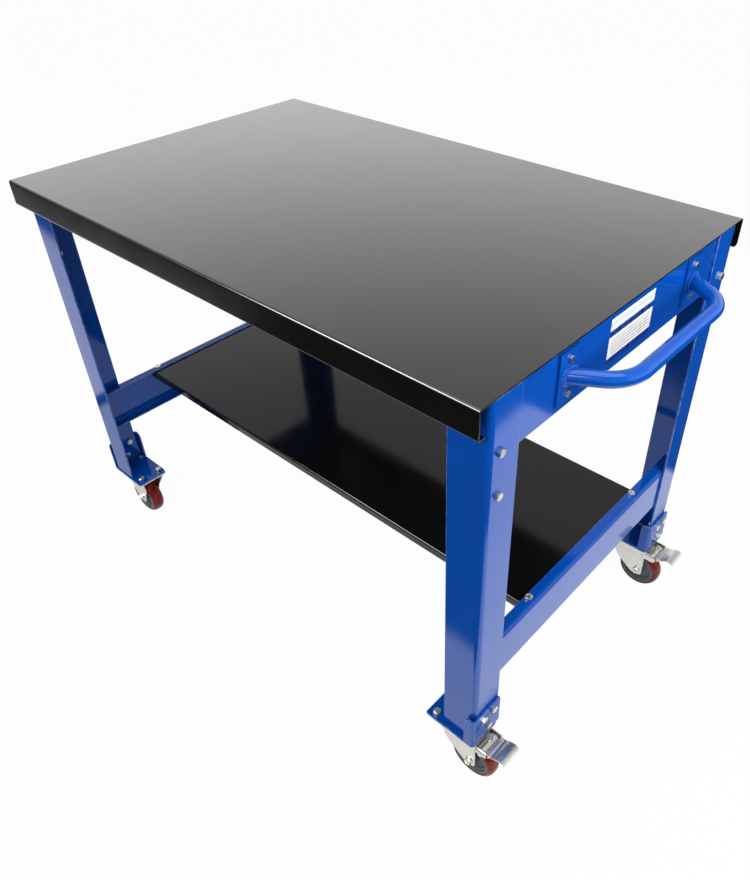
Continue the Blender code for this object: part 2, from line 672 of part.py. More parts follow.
def swivel_fork_mesh():
    """Pressed fork about its swivel axis: crown, two sides to the axle and two arms to the pedal."""
    low = WHEEL_RADIUS - FORK_LOBE
    path = [(FORK_HALF, low), (FORK_HALF, CROWN_TOP), (-FORK_HALF, CROWN_TOP), (-FORK_HALF, low)]
    sheet = prism(folded(path, FORK_SHEET, FORK_BEND), -CROWN_BACK, ARM_REACH, ALONG_X)
    arm_low = CROWN_TOP - ARM_DEPTH
    front = TRAIL + FORK_LOBE
    side = rounded([(-CROWN_BACK, CROWN_TOP - CROWN_DROP), (TRAIL - FORK_LOBE, low), (front, low),
                    (front, arm_low), (ARM_REACH, arm_low), (ARM_REACH, CROWN_TOP),
                    (-CROWN_BACK, CROWN_TOP)],
                   [ARM_CORNER, FORK_TOE, FORK_TOE, ARM_CORNER, ARM_CORNER, ARM_CORNER, 0], True)
    inside = FORK_GAP / 2 + SINK
    shape = prism(side, -2 * FORK_HALF, 2 * FORK_HALF, ALONG_Y)
    opening = prism(rectangle(CROWN_FRONT, ARM_REACH + FORK_SHEET, -inside, inside),
                    CROWN_BOTTOM - FORK_SHEET, CROWN_TOP + FORK_SHEET)
    pivot = rods([(0, 0)], KINGPIN + HOLE_GAP, CROWN_BOTTOM - FORK_SHEET, CROWN_TOP + FORK_SHEET)
    past = FORK_HALF + FORK_SHEET
    pin = rods([(PEDAL_PIN_X, PEDAL_PIN_Z)], PEDAL_PIN + HOLE_GAP, -past, past, ALONG_Y)
    return settled(combined(sheet, ("INTERSECT", shape), ("DIFFERENCE", opening), ("DIFFERENCE", pivot),
                            ("DIFFERENCE", axle_holes(TRAIL)), ("DIFFERENCE", pin)))


def upright(shape):
    """Turns a shape made about Z so that its axis lies along Y."""
    return moved(shape, (0, 0, 0), Matrix.Rotation(math.pi / 2, 4, "X"))


def axle_mesh():
    """Axle bolt along Y with the sleeve that the wheel runs on."""
    across = FORK_HALF + FIT
    sleeve = FORK_GAP / 2 - FIT
    shank, flats, head, nut = M8
    corner = flats / math.sqrt(3)
    tip = -across - nut - BOLT_END
    rod = turned([(0, across + head), (AXLE, across + head), (AXLE, sleeve), (SLEEVE, sleeve),
                  (SLEEVE, -sleeve), (AXLE, -sleeve), (AXLE, tip), (0, tip)], PIN_STEPS)
    ends = []
    for low, high in ((across, across + head + SINK), (-across - nut, -across)):
        ends.append(turned([(0, high), (corner - WASHER_FACE, high), (corner, high - WASHER_FACE),
                            (corner, low), (0, low)], 6))
    return settled(upright(combined(rod, ("UNION", gathered(ends)))))


def core_mesh():
    """Wheel centre along Y: hub, dished web and rim, bored for the sleeve."""
    rim = WHEEL_WIDTH / 2 - RIM_INSET
    hub = HUB_WIDTH / 2
    web = WEB_THICKNESS / 2
    inside = CORE_RADIUS - RIM_THICKNESS
    bore = SLEEVE + HOLE_GAP
    half = [(bore, hub), (HUB_RADIUS, hub), (HUB_RADIUS + WASHER_FACE, web), (inside, web),
            (inside + WASHER_FACE, rim), (CORE_RADIUS, rim)]
    profile = half + [(radius, -height) for radius, height in reversed(half)]
    return settled(upright(turned(profile, ROUND_STEPS, True)))


def tread_mesh():
    """Tyre bonded round the core, with a crowned running face."""
    half = WHEEL_WIDTH / 2
    inner = CORE_RADIUS + FIT
    section = rounded([(inner, half), (WHEEL_RADIUS, half), (WHEEL_RADIUS, -half), (inner, -half)],
                      [0, TREAD_ROUND, TREAD_ROUND, 0], True)
    return settled(upright(turned(section, ROUND_STEPS, True)))


def pedal_mesh():
    """Brake pedal about its pin: eye, shoe that turns towards the tread, neck and wide tongue."""
    eye = upright(turned([(0, PEDAL_NECK / 2), (PEDAL_EYE, PEDAL_NECK / 2), (PEDAL_EYE, -PEDAL_NECK / 2),
                          (0, -PEDAL_NECK / 2)], PIN_STEPS))
    to_wheel = Vector((TRAIL - PEDAL_PIN_X, WHEEL_RADIUS - PEDAL_PIN_Z)).normalized()
    to_wheel.rotate(Matrix.Rotation(PEDAL_TRAVEL, 2))
    across = Vector((-to_wheel.y, to_wheel.x)) * SHOE_WIDTH / 2
    tip = to_wheel * SHOE_REACH
    shoe = prism([tuple(point) for point in (across, tip + across, tip - across, -across)],
                 SINK - PEDAL_NECK / 2, PEDAL_NECK / 2 - SINK, ALONG_Y)
    root = ARM_REACH - PEDAL_PIN_X + ARM_END_GAP
    high = PEDAL_EYE + PEDAL_RISE
    path = [(PEDAL_REACH, high - PEDAL_LIP), (PEDAL_REACH, high), (0, PEDAL_EYE - PEDAL_SHEET / 2)]
    tongue = prism(folded(path, PEDAL_SHEET, PEDAL_BEND), -PEDAL_WIDTH / 2, PEDAL_WIDTH / 2, ALONG_Y)
    neck = PEDAL_NECK / 2 - 2 * SINK
    wide = PEDAL_WIDTH / 2 + SINK
    end = PEDAL_REACH + SINK
    plan = [(-SINK, -neck), (root, -neck), (root, -wide), (end, -wide), (end, wide), (root, wide),
            (root, neck), (-SINK, neck)]
    tongue = combined(tongue, ("INTERSECT", prism(plan, -PEDAL_REACH, PEDAL_REACH)))
    bore = rods([(0, 0)], PEDAL_PIN + HOLE_GAP, -PEDAL_WIDTH, PEDAL_WIDTH, ALONG_Y)
    return settled(combined(eye, ("UNION", shoe), ("UNION", tongue), ("DIFFERENCE", bore)))


def pin_mesh():
    """Pedal pin along Y, from the outside of one fork arm to the outside of the other."""
    head = FORK_HALF + FIT
    tip = head + PEDAL_PIN_HEAD_HEIGHT
    wide = PEDAL_PIN_HEAD
    profile = [(0, tip), (wide, tip), (wide, head), (PEDAL_PIN, head), (PEDAL_PIN, -head), (wide, -head),
               (wide, -tip), (0, -tip)]
    return settled(upright(turned(profile, PIN_STEPS)))


def make_wheel(bench, name, core, tread, axle, parent, x):
    """Axle, core and tread on an empty at the wheel's centre."""
    centre = bench.empty(f"{name}_wheel_axis", (x, 0, WHEEL_RADIUS), parent)
    bench.add(f"{name}_axle", axle, "zinc", parent=centre)
    bench.add(f"{name}_wheel_core", core, "core", parent=centre)
    bench.add(f"{name}_wheel_tread", tread, "tread", parent=centre)


def make_feet(bench):
    bracket = foot_bracket_mesh()
    rigid = rigid_fork_mesh()
    plate, race, fork = swivel_plate_mesh(), swivel_race_mesh(), swivel_fork_mesh()
    wheel = (core_mesh(), tread_mesh(), axle_mesh())
    pedal, pin = pedal_mesh(), pin_mesh()
    for end, side_x in ENDS:
        spin = 0 if side_x > 0 else math.pi
        for side, side_y in SIDES:
            foot = (side_x * LEG_X, side_y * LEG_MID_Y, 0)
            bench.add(f"foot_bracket_{end}_{side}", bracket, "blue", foot, spin)
            at = (side_x * (LEG_X - CASTER_INSET), side_y * LEG_MID_Y - side_x * CASTER_SHIFT, 0)
            name = f"caster_{end}_{side}"
            axis = bench.empty(f"{name}_axis", at, bench.frame)
            if side_x < 0:
                bench.add(f"{name}_fork", rigid, "zinc", parent=axis)
                make_wheel(bench, name, *wheel, axis, 0)
                continue
            bench.add(f"{name}_plate", plate, "zinc", parent=axis)
            bench.add(f"{name}_race", race, "zinc", parent=axis)
            bench.add(f"{name}_fork", fork, "zinc", parent=axis)
            make_wheel(bench, name, *wheel, axis, TRAIL)
            pivot = (PEDAL_PIN_X, 0, PEDAL_PIN_Z)
            bench.add(f"{name}_pedal_pin", pin, "zinc", pivot, parent=axis)
            bench.add(f"{name}_brake_pedal", pedal, "zinc", pivot, parent=axis)


def main():
    bench = Bench()
    make_top(bench)
    make_stiffener(bench)
    make_legs(bench)
    make_aprons(bench)
    make_rails(bench)
    make_shelf(bench)
    make_handle(bench)
    make_feet(bench)


main()
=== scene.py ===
import math

import bmesh
import bpy
from mathutils import Matrix, Vector


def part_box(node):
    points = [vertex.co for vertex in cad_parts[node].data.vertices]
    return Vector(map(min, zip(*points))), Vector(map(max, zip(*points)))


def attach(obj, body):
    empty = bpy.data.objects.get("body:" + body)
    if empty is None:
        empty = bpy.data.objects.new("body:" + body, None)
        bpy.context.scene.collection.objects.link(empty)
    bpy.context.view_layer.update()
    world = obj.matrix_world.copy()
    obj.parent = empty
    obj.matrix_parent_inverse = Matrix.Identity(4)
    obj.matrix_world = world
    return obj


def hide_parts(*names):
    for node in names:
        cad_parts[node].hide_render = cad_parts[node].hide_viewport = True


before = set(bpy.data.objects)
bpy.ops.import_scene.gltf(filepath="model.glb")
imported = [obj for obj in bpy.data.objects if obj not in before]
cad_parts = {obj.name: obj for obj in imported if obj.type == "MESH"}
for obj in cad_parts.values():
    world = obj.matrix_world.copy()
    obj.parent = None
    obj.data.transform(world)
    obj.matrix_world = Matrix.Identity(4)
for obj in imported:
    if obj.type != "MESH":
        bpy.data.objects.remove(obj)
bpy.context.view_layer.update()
print("frame loaded:", len(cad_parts), "nodes")

ends = {"right": 1, "left": -1}     # along X, the push handle is at the right
sides = {"front": -1, "back": 1}    # along Y
up = Vector((0, 0, 1))
alongY = Matrix.Rotation(-math.pi / 2, 4, "X")
corners = [(end, side) for end in ends for side in sides]
seatGap, boreGap = 0.0003, 0.0004   # between pieces that rest on each other, and round pins in holes
past, clear = 0.001, 0.01           # how far cutters reach past what they cut


# mesh helpers

leastBend = 0.125   # inner radius of the tightest fold, as a share of the sheet
sameSpot = 0.0001
cleaning = dict(weld=0.000002, flatAngle=0.002)


def forEach(value, count):
    # one value for all, or a list with one for each
    return value if isinstance(value, (list, tuple)) else [value] * count


def arcPath(points, radii, closed=False, steps=8):
    # corners of a flat path turned into arcs
    radii = forEach(radii, len(points))
    path = []
    for i, point in enumerate(points):
        corner = Vector(point)
        if radii[i] <= 0 or (not closed and i in (0, len(points) - 1)):
            path.append(corner)
            continue
        back = (Vector(points[i - 1]) - corner).normalized()
        onward = (Vector(points[(i + 1) % len(points)]) - corner).normalized()
        half = back.angle(onward) / 2
        centre = corner + (back + onward).normalized() * radii[i] / math.sin(half)
        start = corner + back * radii[i] / math.tan(half) - centre
        finish = corner + onward * radii[i] / math.tan(half) - centre
        sweep = math.atan2(start.cross(finish), start.dot(finish))
        for step in range(steps + 1):
            spoke = start.copy()
            spoke.rotate(Matrix.Rotation(sweep * step / steps, 2))
            path.append(centre + spoke)
    return path


def boxPath(x0, y0, x1, y1, radii=0, steps=8):
    return arcPath([(x0, y0), (x1, y0), (x1, y1), (x0, y1)], radii, True, steps)


def foldLines(path, sheet, bend, steps):
    # outer and inner line of a folded sheet whose material lies on the left of the path
    path = [Vector(point) for point in path]
    runs = [(b - a).normalized() for a, b in zip(path, path[1:])]
    lefts = [Vector((-run.y, run.x)) for run in runs]
    bends = forEach(bend, len(path) - 2)
    inner, outerRadii, innerRadii = [path[0] + lefts[0] * sheet], [0], [0]
    for i in range(1, len(path) - 1):
        shift = (lefts[i - 1] + lefts[i]) / (1 + lefts[i - 1].dot(lefts[i]))
        inner.append(path[i] + shift * sheet)
        wide, tight = bends[i - 1], max(bends[i - 1] - sheet, sheet * leastBend)
        inward = runs[i - 1].cross(runs[i]) > 0
        outerRadii.append(wide if inward else tight)
        innerRadii.append(tight if inward else wide)
    inner.append(path[-1] + lefts[-1] * sheet)
    return arcPath(path, outerRadii + [0], steps=steps), arcPath(inner, innerRadii + [0], steps=steps)


def inSpace(axis, point, along):
    return {"x": (along, point[0], point[1]), "y": (point[0], along, point[1]),
            "z": (point[0], point[1], along)}[axis]


def outward(bm):
    bmesh.ops.recalc_face_normals(bm, faces=bm.faces[:])
    return bm


def foldedSheet(path, sheet, bend, low, high, axis, steps=8):
    # sheet folded along the path and drawn out from low to high along the axis
    lines = foldLines(path, sheet, bend, steps)
    bm = bmesh.new()
    (o0, i0), (o1, i1) = [[[bm.verts.new(inSpace(axis, p, along)) for p in line] for line in lines]
                          for along in (low, high)]
    for k in range(len(o0) - 1):
        bm.faces.new((o0[k], o0[k + 1], o1[k + 1], o1[k]))
        bm.faces.new((i0[k + 1], i0[k], i1[k], i1[k + 1]))
        bm.faces.new((o0[k + 1], o0[k], i0[k], i0[k + 1]))
        bm.faces.new((o1[k], o1[k + 1], i1[k + 1], i1[k]))
    bm.faces.new((o0[0], o1[0], i1[0], i0[0]))
    bm.faces.new((o1[-1], o0[-1], i0[-1], i1[-1]))
    return outward(bm)


def bridgeRings(bm, rings, wrap=False):
    # faces between rings in a row, joined into a loop or capped at both ends
    for a, b in zip(rings, rings[1:] + rings[:1] if wrap else rings[1:]):
        count = len(a)
        for k in range(count):
            bm.faces.new((a[k], a[(k + 1) % count], b[(k + 1) % count], b[k]))
    if not wrap:
        bm.faces.new(rings[0])
        bm.faces.new(rings[-1])


def prism(outline, low, high, axis):
    bm = bmesh.new()
    bridgeRings(bm, [[bm.verts.new(inSpace(axis, p, along)) for p in outline] for along in (low, high)])
    return outward(bm)


def addRing(bm, place, radius, height, count):
    # radius and height are numbers, or functions of the turn
    ring = []
    for k in range(count):
        turn = 2 * math.pi * k / count
        r = radius(turn) if callable(radius) else radius
        h = height(turn) if callable(height) else height
        ring.append(bm.verts.new(place @ Vector((r * math.cos(turn), r * math.sin(turn), h))))
    return ring


def lathe(bm, profile, count, place=Matrix.Identity(4), closed=False):
    # profile of (radius, height) points turned about Z, closed into a ring or capped at both ends
    bridgeRings(bm, [addRing(bm, place, r, h, count) for r, h in profile], closed)
    return bm


def bothSides(half, between=()):
    # half a profile with its mirror image
    return [*half, *between, *((r, -h) for r, h in reversed(half))]


def roundBar(radius, low, high, axis, at=(0, 0), count=32):
    # cutter along Y or Z through a flat place
    place = Matrix.Translation(inSpace(axis, at, 0)) @ (alongY if axis == "y" else Matrix.Identity(4))
    return outward(lathe(bmesh.new(), [(radius, low), (radius, high)], count, place))


def addObject(name, data):
    thing = bpy.data.objects.new(name, data)
    bpy.context.scene.collection.objects.link(thing)
    return thing


def meshObject(name, bm):
    mesh = bpy.data.meshes.new(name)
    bm.to_mesh(mesh)
    bm.free()
    return addObject(name, mesh)


def carve(base, *steps):
    # exact booleans one after another, given as (operation, tool)
    body = meshObject("working", base)
    tools = []
    for operation, tool in steps:
        change = body.modifiers.new("carve", "BOOLEAN")
        change.operation = operation
        change.solver = "EXACT"
        change.object = meshObject("working", tool)
        tools.append(change.object)
    bpy.context.view_layer.update()
    shaped = body.evaluated_get(bpy.context.evaluated_depsgraph_get()).to_mesh()
    bm = bmesh.new()
    bm.from_mesh(shaped)
    for thing in [body] + tools:
        mesh = thing.data
        bpy.data.objects.remove(thing)
        bpy.data.meshes.remove(mesh)
    bmesh.ops.remove_doubles(bm, verts=bm.verts[:], dist=cleaning["weld"])
    bmesh.ops.dissolve_limit(bm, angle_limit=cleaning["flatAngle"], verts=bm.verts[:], edges=bm.edges[:])
    return bm


def bevelEdges(bm, edges, width, steps, clamp=False):
    return bmesh.ops.bevel(bm, geom=edges, offset=width, segments=steps, profile=0.5, affect="EDGES",
                           clamp_overlap=clamp)["faces"]


def roundEdges(bm, radius, spots, steps=6):
    # rounds the edges whose middles are at these spots
    chosen = [edge for edge in bm.edges
              if any(((edge.verts[0].co + edge.verts[1].co) / 2 - Vector(spot)).length < sameSpot
                     for spot in spots)]
    bevelEdges(bm, chosen, radius, steps)


def easeEdges(bm, width, steps=2, limit=0.6, wear=1.0):
    # small round on every sharp edge; the new faces are marked for the edge wear
    mark = bm.faces.layers.float.get("edge") or bm.faces.layers.float.new("edge")
    sharp = [edge for edge in bm.edges if edge.is_manifold and edge.calc_face_angle(0) > limit]
    for face in bevelEdges(bm, sharp, width, steps, True):
        face[mark] = wear
    return bm


def merged(*shapes):
    bm = bmesh.new()
    for shape in shapes:
        mesh = bpy.data.meshes.new("merged")
        shape.to_mesh(mesh)
        shape.free()
        bm.from_mesh(mesh)
        bpy.data.meshes.remove(mesh)
    return bm


def addPiece(name, bm, finish, body="frame", nodes=(), place=None, sharpAngle=35):
    if place:
        bm.transform(place)
    piece = meshObject(name, outward(bm))
    piece.data.shade_smooth()
    piece.data.set_sharp_from_angle(angle=math.radians(sharpAngle))
    piece.data.materials.append(finishes[finish]["material"])
    piece.modifiers.new("flatNormals", "WEIGHTED_NORMAL").keep_sharp = True
    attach(piece, body)
    if nodes:
        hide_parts(*nodes)
    return piece


def titled(name, *words):
    return name + "".join(word.title() for word in words)


def middle(node):
    low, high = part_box(node)
    return (low + high) / 2


def outerInner(low, high, sign):
    return (high, low) if sign > 0 else (low, high)


def facing(path, sign):
    return path if sign > 0 else path[::-1]


# shader helpers, which add to the current node tree

current = {}


def addNode(kind, **settings):
    node = current["tree"].nodes.new("ShaderNode" + kind)
    for key, value in settings.items():
        if key in node.inputs.keys():
            node.inputs[key].default_value = value
        else:
            setattr(node, key, value)
    return node


def feed(socket, value):
    # numbers and colours are set, anything else is linked
    if isinstance(value, (int, float)):
        socket.default_value = value
    elif isinstance(value, tuple):
        socket.default_value = (*value, 1)
    else:
        current["tree"].links.new(value, socket)


def feedAll(node, **values):
    for key, value in values.items():
        feed(node.inputs[key.replace("_", " ")], value)
    return node.outputs


def mathNode(operation, a, b):
    node = addNode("Math", operation=operation)
    feed(node.inputs[0], a)
    feed(node.inputs[1], b)
    return node.outputs[0]


def times(a, b):
    return mathNode("MULTIPLY", a, b)


def timesPlus(value, factor, base):
    return mathNode("ADD", times(value, factor), base)


def spread(value, low, high, toLow=0.0, toHigh=1.0):
    # smooth step from one range to another
    node = addNode("MapRange", interpolation_type="SMOOTHSTEP")
    return feedAll(node, Value=value, From_Min=low, From_Max=high, To_Min=toLow, To_Max=toHigh)["Result"]


def mixColour(factor, a, b):
    node = addNode("Mix", data_type="RGBA")
    for index, value in ((0, factor), (6, a), (7, b)):     # 6 and 7 are the colour sockets
        feed(node.inputs[index], value)
    return node.outputs[2]


def objectPoint():
    return addNode("TexCoord").outputs["Object"]


def stretched(vector, scale):
    return feedAll(addNode("Mapping", Scale=scale), Vector=vector)["Vector"]


def splitVector(vector):
    return feedAll(addNode("SeparateXYZ"), Vector=vector)


def noiseNode(where, scale, detail=2.0, roughness=0.5):
    node = addNode("TexNoise", Detail=detail, Roughness=roughness)
    return feedAll(node, Vector=where, Scale=scale)["Fac"]


def cloud(where, noise, limits):
    return spread(noiseNode(where, *noise), *limits)


# shader groups shared by the finishes

def newGroup(name, inputs, outputs):
    group = current["tree"] = bpy.data.node_groups.new(name, "ShaderNodeTree")
    for key, value in inputs.items():
        socket = group.interface.new_socket(key, in_out="INPUT", socket_type="NodeSocketFloat")
        socket.default_value = value
    for key in outputs:
        group.interface.new_socket(key, in_out="OUTPUT", socket_type="NodeSocketFloat")
    return group, group.nodes.new("NodeGroupInput").outputs, group.nodes.new("NodeGroupOutput").inputs


def placeGroup(group, **values):
    return feedAll(addNode("Group", node_tree=group), **values)


grain = dict(
    peelDetail=1.5, peelShare=0.8, speckDetail=1.0, speckShare=0.2, mottleNoise=(4.5, 3.0),
    mottleRange=(0.3, 0.7))


def makeSprayGrain():
    # orange peel of a sprayed coat: soft ripples, fine specks and a slow mottle
    group, inside, outside = newGroup("sprayGrain", {"Peel Scale": 260.0, "Speck Scale": 1400.0},
                                      ("Height", "Mottle"))
    where = objectPoint()
    peel = noiseNode(where, inside["Peel Scale"], grain["peelDetail"])
    speck = noiseNode(where, inside["Speck Scale"], grain["speckDetail"])
    feed(outside["Height"], timesPlus(peel, grain["peelShare"], times(speck, grain["speckShare"])))
    feed(outside["Mottle"], cloud(where, grain["mottleNoise"], grain["mottleRange"]))
    return group


patches = dict(detail=4.0, roughness=0.65, limits=(0.42, 0.62), evenCover=0.5)


def makeEdgeWear():
    # patches along the eased edges, where the coat is thin or rubbed
    group, inside, outside = newGroup("edgeWear", {"Patch Scale": 60.0, "Cover": 0.5}, ("Mask",))
    edge = addNode("Attribute", attribute_name="edge").outputs["Fac"]
    patch = noiseNode(objectPoint(), inside["Patch Scale"], patches["detail"], patches["roughness"])
    raised = mathNode("ADD", patch, mathNode("SUBTRACT", inside["Cover"], patches["evenCover"]))
    feed(outside["Mask"], times(edge, spread(raised, *patches["limits"])))
    return group


smears = dict(stretch=(1.0, 2.4, 1.0), detail=5.0, roughness=0.6, limits=(0.35, 0.75))


def makeHandlingFilm():
    # uneven film left by wiping and handling, which changes the gloss
    group, inside, outside = newGroup("handlingFilm", {"Smear Scale": 9.0}, ("Film",))
    where = stretched(objectPoint(), smears["stretch"])
    smear = noiseNode(where, inside["Smear Scale"], smears["detail"], smears["roughness"])
    feed(outside["Film"], spread(smear, *smears["limits"]))
    return group


sprayGrain = makeSprayGrain()
edgeWear = makeEdgeWear()
handlingFilm = makeHandlingFilm()


# finishes

def newFinish(name, **values):
    material = bpy.data.materials.new(name)
    material.use_nodes = True
    current["tree"] = material.node_tree
    shader = material.node_tree.nodes["Principled BSDF"]
    feedAll(shader, **values)
    return material, shader


def dress(shader, colour, rough, height, look):
    bump = addNode("Bump", Strength=look["bump"], Distance=look["depth"])
    feedAll(shader, Base_Color=colour, Roughness=rough, Normal=feedAll(bump, Height=height)["Normal"])


coatLook = dict(clearRough=0.5, speckScale=5, wornRough=0.15, depth=0.0004)
coats = dict(
    topBlack=dict(
        slot="black_powder_coat", tone=(0.0035, 0.0035, 0.0035), deep=(0.0025, 0.0025, 0.003),
        worn=(0.08, 0.075, 0.07), cover=0.42, rough=0.20, film=0.05, clear=1.0, waxed=(0.3, 0.95), peel=420.0,
        bump=0.06),
    shelfBlack=dict(
        slot="black_powder_coat", tone=(0.004, 0.004, 0.0045), deep=(0.003, 0.003, 0.0035),
        worn=(0.16, 0.13, 0.09), cover=0.45, rough=0.08, film=0.03, clear=0.0, peel=300.0, bump=0.03),
    frameBlue=dict(
        slot="blue_powder_coat", tone=(0.001, 0.068, 0.385), deep=(0.001, 0.058, 0.335),
        worn=(0.20, 0.31, 0.64), cover=0.55, rough=0.055, film=0.03, clear=0.0, peel=240.0, bump=0.08))


def powderCoat(name, look):
    # sprayed and baked coat
    base, peel, clearCoat = look["rough"], look["peel"], look["clear"]
    material, shader = newFinish(name, Roughness=base, Coat_Weight=clearCoat,
                                 Coat_Roughness=base * look["clearRough"])
    grained = placeGroup(sprayGrain, Peel_Scale=peel, Speck_Scale=peel * look["speckScale"])
    worn = placeGroup(edgeWear, Cover=look["cover"])["Mask"]
    film = placeGroup(handlingFilm)["Film"]
    colour = mixColour(grained["Mottle"], look["tone"], look["deep"])
    rough = mathNode("ADD", timesPlus(film, look["film"], base), times(worn, look["wornRough"]))
    dress(shader, mixColour(worn, colour, look["worn"]), rough, grained["Height"], look)
    if "waxed" in look:
        # the clear layer is full on the upper face and none on the folds
        facingUp = splitVector(addNode("NewGeometry").outputs["Normal"])["Z"]
        feedAll(shader, Coat_Weight=spread(facingUp, *look["waxed"], 0.0, clearCoat))
    return material


zinc = dict(
    rough=0.28, film=0.08, smear=45.0, tone=(0.78, 0.80, 0.78), straw=(0.79, 0.76, 0.67),
    strawNoise=(38.0, 3.0), strawRange=(0.35, 0.68), cool=(0.68, 0.73, 0.78), coolNoise=(55.0, 2.0),
    coolRange=(0.5, 0.75), coolShare=0.6, worn=(0.80, 0.81, 0.80), cover=0.55, drawn=(1.0, 12.0, 1.0),
    drawnScale=220.0, bump=0.03, depth=0.0002)


def zincPlate(name):
    # bright zinc: cool grey metal with a faint straw and blue bloom and fine drawn lines
    material, shader = newFinish(name, Roughness=zinc["rough"], Metallic=1.0)
    where = objectPoint()
    worn = placeGroup(edgeWear, Cover=zinc["cover"])["Mask"]
    film = placeGroup(handlingFilm, Smear_Scale=zinc["smear"])["Film"]
    straw = cloud(where, zinc["strawNoise"], zinc["strawRange"])
    cool = cloud(where, zinc["coolNoise"], zinc["coolRange"])
    colour = mixColour(straw, zinc["tone"], zinc["straw"])
    colour = mixColour(times(cool, zinc["coolShare"]), colour, zinc["cool"])
    colour = mixColour(worn, colour, zinc["worn"])
    lines = noiseNode(stretched(where, zinc["drawn"]), zinc["drawnScale"])
    dress(shader, colour, timesPlus(film, zinc["film"], zinc["rough"]), lines, zinc)
    return material


rubber = dict(
    rough=0.28, leastRough=0.20, film=0.16, smear=30.0, specular=0.3, tone=(0.200, 0.008, 0.006),
    deep=(0.140, 0.006, 0.005), cloudNoise=(60.0, 4.0), cloudRange=(0.3, 0.7), grainScale=500.0, bump=0.05,
    depth=0.0003)


def treadRubber(name):
    # cast polyurethane: deep red, darker where it has been handled, faint mould haze
    material, shader = newFinish(name, Roughness=rubber["rough"], Specular_IOR_Level=rubber["specular"])
    where = objectPoint()
    film = placeGroup(handlingFilm, Smear_Scale=rubber["smear"])["Film"]
    handled = cloud(where, rubber["cloudNoise"], rubber["cloudRange"])
    colour = mixColour(handled, rubber["tone"], rubber["deep"])
    rough = timesPlus(film, rubber["film"], rubber["leastRough"])
    dress(shader, colour, rough, noiseNode(where, rubber["grainScale"]), rubber)
    return material


nylon = dict(
    rough=0.48, roughRange=(0.42, 0.58), grainRange=(0.3, 0.7), peel=900.0, speck=2600.0,
    tone=(0.100, 0.122, 0.132), deep=(0.080, 0.098, 0.108), worn=(0.17, 0.19, 0.20), cover=0.5, bump=0.25,
    depth=0.0003)


def coreNylon(name):
    # moulded grey nylon with a fine spark-eroded grain
    material, shader = newFinish(name, Roughness=nylon["rough"])
    grained = placeGroup(sprayGrain, Peel_Scale=nylon["peel"], Speck_Scale=nylon["speck"])
    worn = placeGroup(edgeWear, Cover=nylon["cover"])["Mask"]
    colour = mixColour(grained["Mottle"], nylon["tone"], nylon["deep"])
    rough = spread(grained["Height"], *nylon["grainRange"], *nylon["roughRange"])
    dress(shader, mixColour(worn, colour, nylon["worn"]), rough, grained["Height"], nylon)
    return material


finishes = {key: dict(slot=look["slot"], material=powderCoat(f"{key}Coat", {**coatLook, **look}))
            for key, look in coats.items()}
finishes["zinc"] = dict(slot="zinc_plate", material=zincPlate("brightZinc"))
finishes["tread"] = dict(slot="red_polyurethane", material=treadRubber("redTread"))
finishes["core"] = dict(slot="grey_nylon", material=coreNylon("greyCore"))
print("finishes made:", ", ".join(finishes))


# fasteners

boltSizes = dict(
    m8=dict(shank=0.004, flats=0.013, head=0.0055, nut=0.0065, pitch=0.00125),
    m8Low=dict(shank=0.004, flats=0.013, head=0.004, nut=0.0065, pitch=0.00125),
    m6=dict(shank=0.003, flats=0.010, head=0.004, nut=0.005, pitch=0.001))
hexagon = dict(
    steps=48, face=0.475, chamfer=30, washerFace=0.0005, dishRim=0.74, dishFloor=0.60, nutTurn=17,
    sharpAngle=25)
thread = dict(steps=24, depth=0.55, rows=6, tip=1.3, end=0.003)


def hexBlock(bm, place, flats, low, high, faceLow, dish=0.0):
    # hexagon with the turned chamfer of a bolt head or nut; faceLow gives a washer face below
    flat = flats * hexagon["face"]
    slope = math.tan(math.radians(hexagon["chamfer"]))

    def across(turn):
        return flats / 2 / math.cos(turn % (math.pi / 3) - math.pi / 6)

    def chamfer(turn):
        return (across(turn) - flat) * slope

    profile = [(flat, low)]
    if faceLow:
        step = low + hexagon["washerFace"]
        profile += [(flat, step), (across, step)]
    else:
        profile += [(across, lambda turn: low + chamfer(turn))]
    profile += [(across, lambda turn: high - chamfer(turn)), (flat, high)]
    if dish:
        profile += [(flat * hexagon["dishRim"], high), (flat * hexagon["dishFloor"], high - dish)]
    lathe(bm, profile, hexagon["steps"], place)


def threadedEnd(bm, place, radius, pitch, top, tip):
    # helical thread from inside the nut to a chamfered tip
    depth = pitch * thread["depth"]
    rows = max(thread["rows"], int((top - tip) / pitch * thread["rows"]))

    def grooved(height):
        return lambda turn: radius - depth * abs(2 * ((height / pitch + turn / (2 * math.pi)) % 1.0) - 1)

    heights = [top - (top - tip - depth) * k / (rows - 1) for k in range(rows)]
    profile = [(grooved(height), height) for height in heights] + [(radius - depth * thread["tip"], tip)]
    lathe(bm, profile, thread["steps"], place)


def aim(axis, at, spin=0.0):
    turn = up.rotation_difference(Vector(axis)).to_matrix().to_4x4()
    return Matrix.Translation(at) @ turn @ Matrix.Rotation(math.radians(spin), 4, "Z")


def addBolt(bm, size, grip, place, end=thread["end"], dish=0.0):
    # head on z = 0 of the place, nut and thread below the sheets that it grips
    bolt = boltSizes[size]
    under = -grip - bolt["nut"]
    turned = place @ Matrix.Rotation(math.radians(hexagon["nutTurn"]), 4, "Z")
    hexBlock(bm, place, bolt["flats"], 0, bolt["head"], True, dish)
    hexBlock(bm, turned, bolt["flats"], under, -grip, False)
    threadedEnd(bm, place, bolt["shank"], bolt["pitch"], under + bolt["pitch"], under - end)
    return bm


def boltPiece(name, node, size, grip, place, dish=0.0):
    bm = addBolt(bmesh.new(), size, grip, place, dish=dish)
    addPiece(name, bm, "zinc", nodes=[node], sharpAngle=hexagon["sharpAngle"])


# worktop and the channel under it

